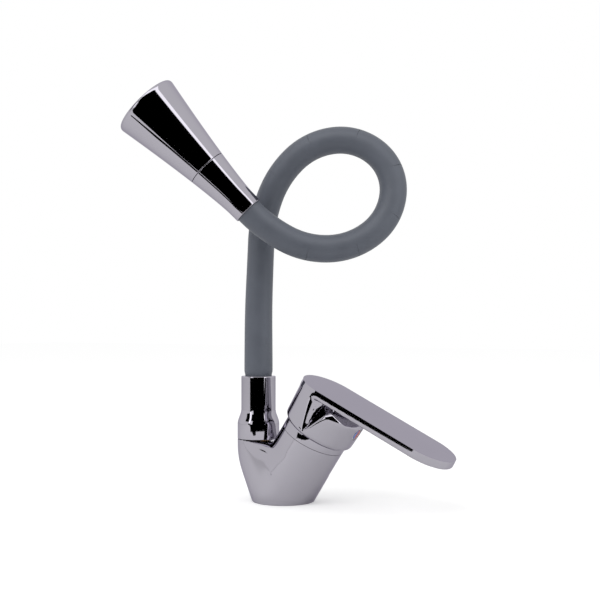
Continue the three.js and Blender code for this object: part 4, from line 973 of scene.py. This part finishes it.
# Spray head. A chromed cone in two turned pieces: the neck holds the hose, and the shell turns on it to
# change the spray. The seam between them is a fine dark line.
HEAD_LENGTH, HEAD_SEAM = 0.1074, 0.0428
NECK_RADIUS, NECK_LENGTH, NECK_LIP_RADIUS, NECK_STRAIGHT = 0.0113, 0.009, 0.0111, 0.0125
MOUTH_RADIUS, FLARE_SHARE = 0.0256, 1.25
SOCKET_RADIUS, SOCKET_REACH, SOCKET_BORE = 0.013, 0.007, 0.011
HEAD_BORE_TOP, HEAD_STOP = 0.0223, 0.0203
SEAM_EDGE, SEAM_EDGE_START = 0.00035, 0.0004

along = directions[-1]
out = (TOWARDS_CAMERA - along * TOWARDS_CAMERA.dot(along)).normalized()
head_place = Matrix((out.cross(along), out, along)).transposed().to_4x4()
head_place.translation = route[-1]


def head_radius(height):
    """The cone's radius, which widens faster and faster from the neck to the mouth."""
    share = max(0, (height - NECK_LENGTH) / (HEAD_LENGTH - NECK_LENGTH))
    return NECK_RADIUS + (MOUTH_RADIUS - NECK_RADIUS) * share ** FLARE_SHARE


def head_flare(low, high, steps):
    """The cone's outline between two heights."""
    heights = [low + (high - low) * i / steps for i in range(steps + 1)]
    return [(head_radius(height), height) for height in heights]


head_neck = turned("spray_neck", rounded([
    (SLEEVE_RADIUS + GAP, 0, 0.0002), (NECK_LIP_RADIUS, 0, 0.0005), (NECK_RADIUS, NECK_LENGTH, 0.004),
    *head_flare(NECK_STRAIGHT, HEAD_SEAM - SEAM_EDGE_START, 24),
    (head_radius(HEAD_SEAM), HEAD_SEAM, SEAM_EDGE),
    (SOCKET_RADIUS, HEAD_SEAM), (SOCKET_RADIUS, HEAD_SEAM + SOCKET_REACH),
    (SOCKET_BORE, HEAD_SEAM + SOCKET_REACH),
    (SOCKET_BORE, HEAD_BORE_TOP), (SLEEVE_RADIUS + GAP, HEAD_STOP)]), head_place)
head_neck.data.materials.append(chrome)
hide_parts("head_neck")
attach(head_neck, "head")

SHELL_FOOT, SHELL_BORE, SHELL_EDGE_START = HEAD_SEAM + GAP, 0.0133, 0.0006
MOUTH_BORE, MOUTH_FLOOR, LIP_START, LIP_EASE = 0.0208, 0.0866, 0.0026, 0.0001
THROAT_RADIUS, THROAT_HEIGHT, BORE_END = 0.0137, 0.0521, 0.0501
head_shell = turned("spray_shell", rounded([
    (SHELL_BORE, SHELL_FOOT, 0.0001), (head_radius(SHELL_FOOT), SHELL_FOOT, SEAM_EDGE),
    *head_flare(SHELL_FOOT + SHELL_EDGE_START, HEAD_LENGTH - LIP_START, 40),
    (head_radius(HEAD_LENGTH - LIP_START) - LIP_EASE, HEAD_LENGTH, 0.0022), (MOUTH_BORE, HEAD_LENGTH, 0.0006),
    (MOUTH_BORE, MOUTH_FLOOR), (THROAT_RADIUS, THROAT_HEIGHT), (SHELL_BORE, BORE_END)], steps=8), head_place)
head_shell.data.materials.append(chrome)
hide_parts("head_shell")
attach(head_shell, "head_front")

grey_plastic = finish("grey_plastic", (0.15, 0.155, 0.17), 0.42, haze=90, grain=1600, bump=0.2)
dress(grey_plastic, "grey_plastic", "nozzle_plate", "selector_disc")
dress(white_plastic, "white_plastic", "aerator_housing", "aerator_insert", "waterway")
dress(brass, "brass", "head_nipple")
dress(rubber, "rubber", "head_washer")
dress(steel, "steel", "ferrule_upper")


# Cartridge. What the handle works inside the barrel: plastic housing, ceramic discs, rotor and stem, held
# down by a brass nut on a rubber seal.
ceramic = finish("fired_ceramic", (0.78, 0.76, 0.71), 0.22, tint=0.05, rough_swing=0.06, haze=120, grain=2200,
                 bump=0.1)
dress(rubber, "rubber", "cartridge_seal")
dress(white_plastic, "white_plastic", "cartridge_base", "cartridge_housing")
dress(ceramic, "ceramic", "fixed_disc", "moving_disc")
dress(grey_plastic, "grey_plastic", "disc_carrier", "rotor")
dress(steel, "steel", "pivot_pin", "grub_screw")
dress(brass, "brass", "stem", "cartridge_nut")
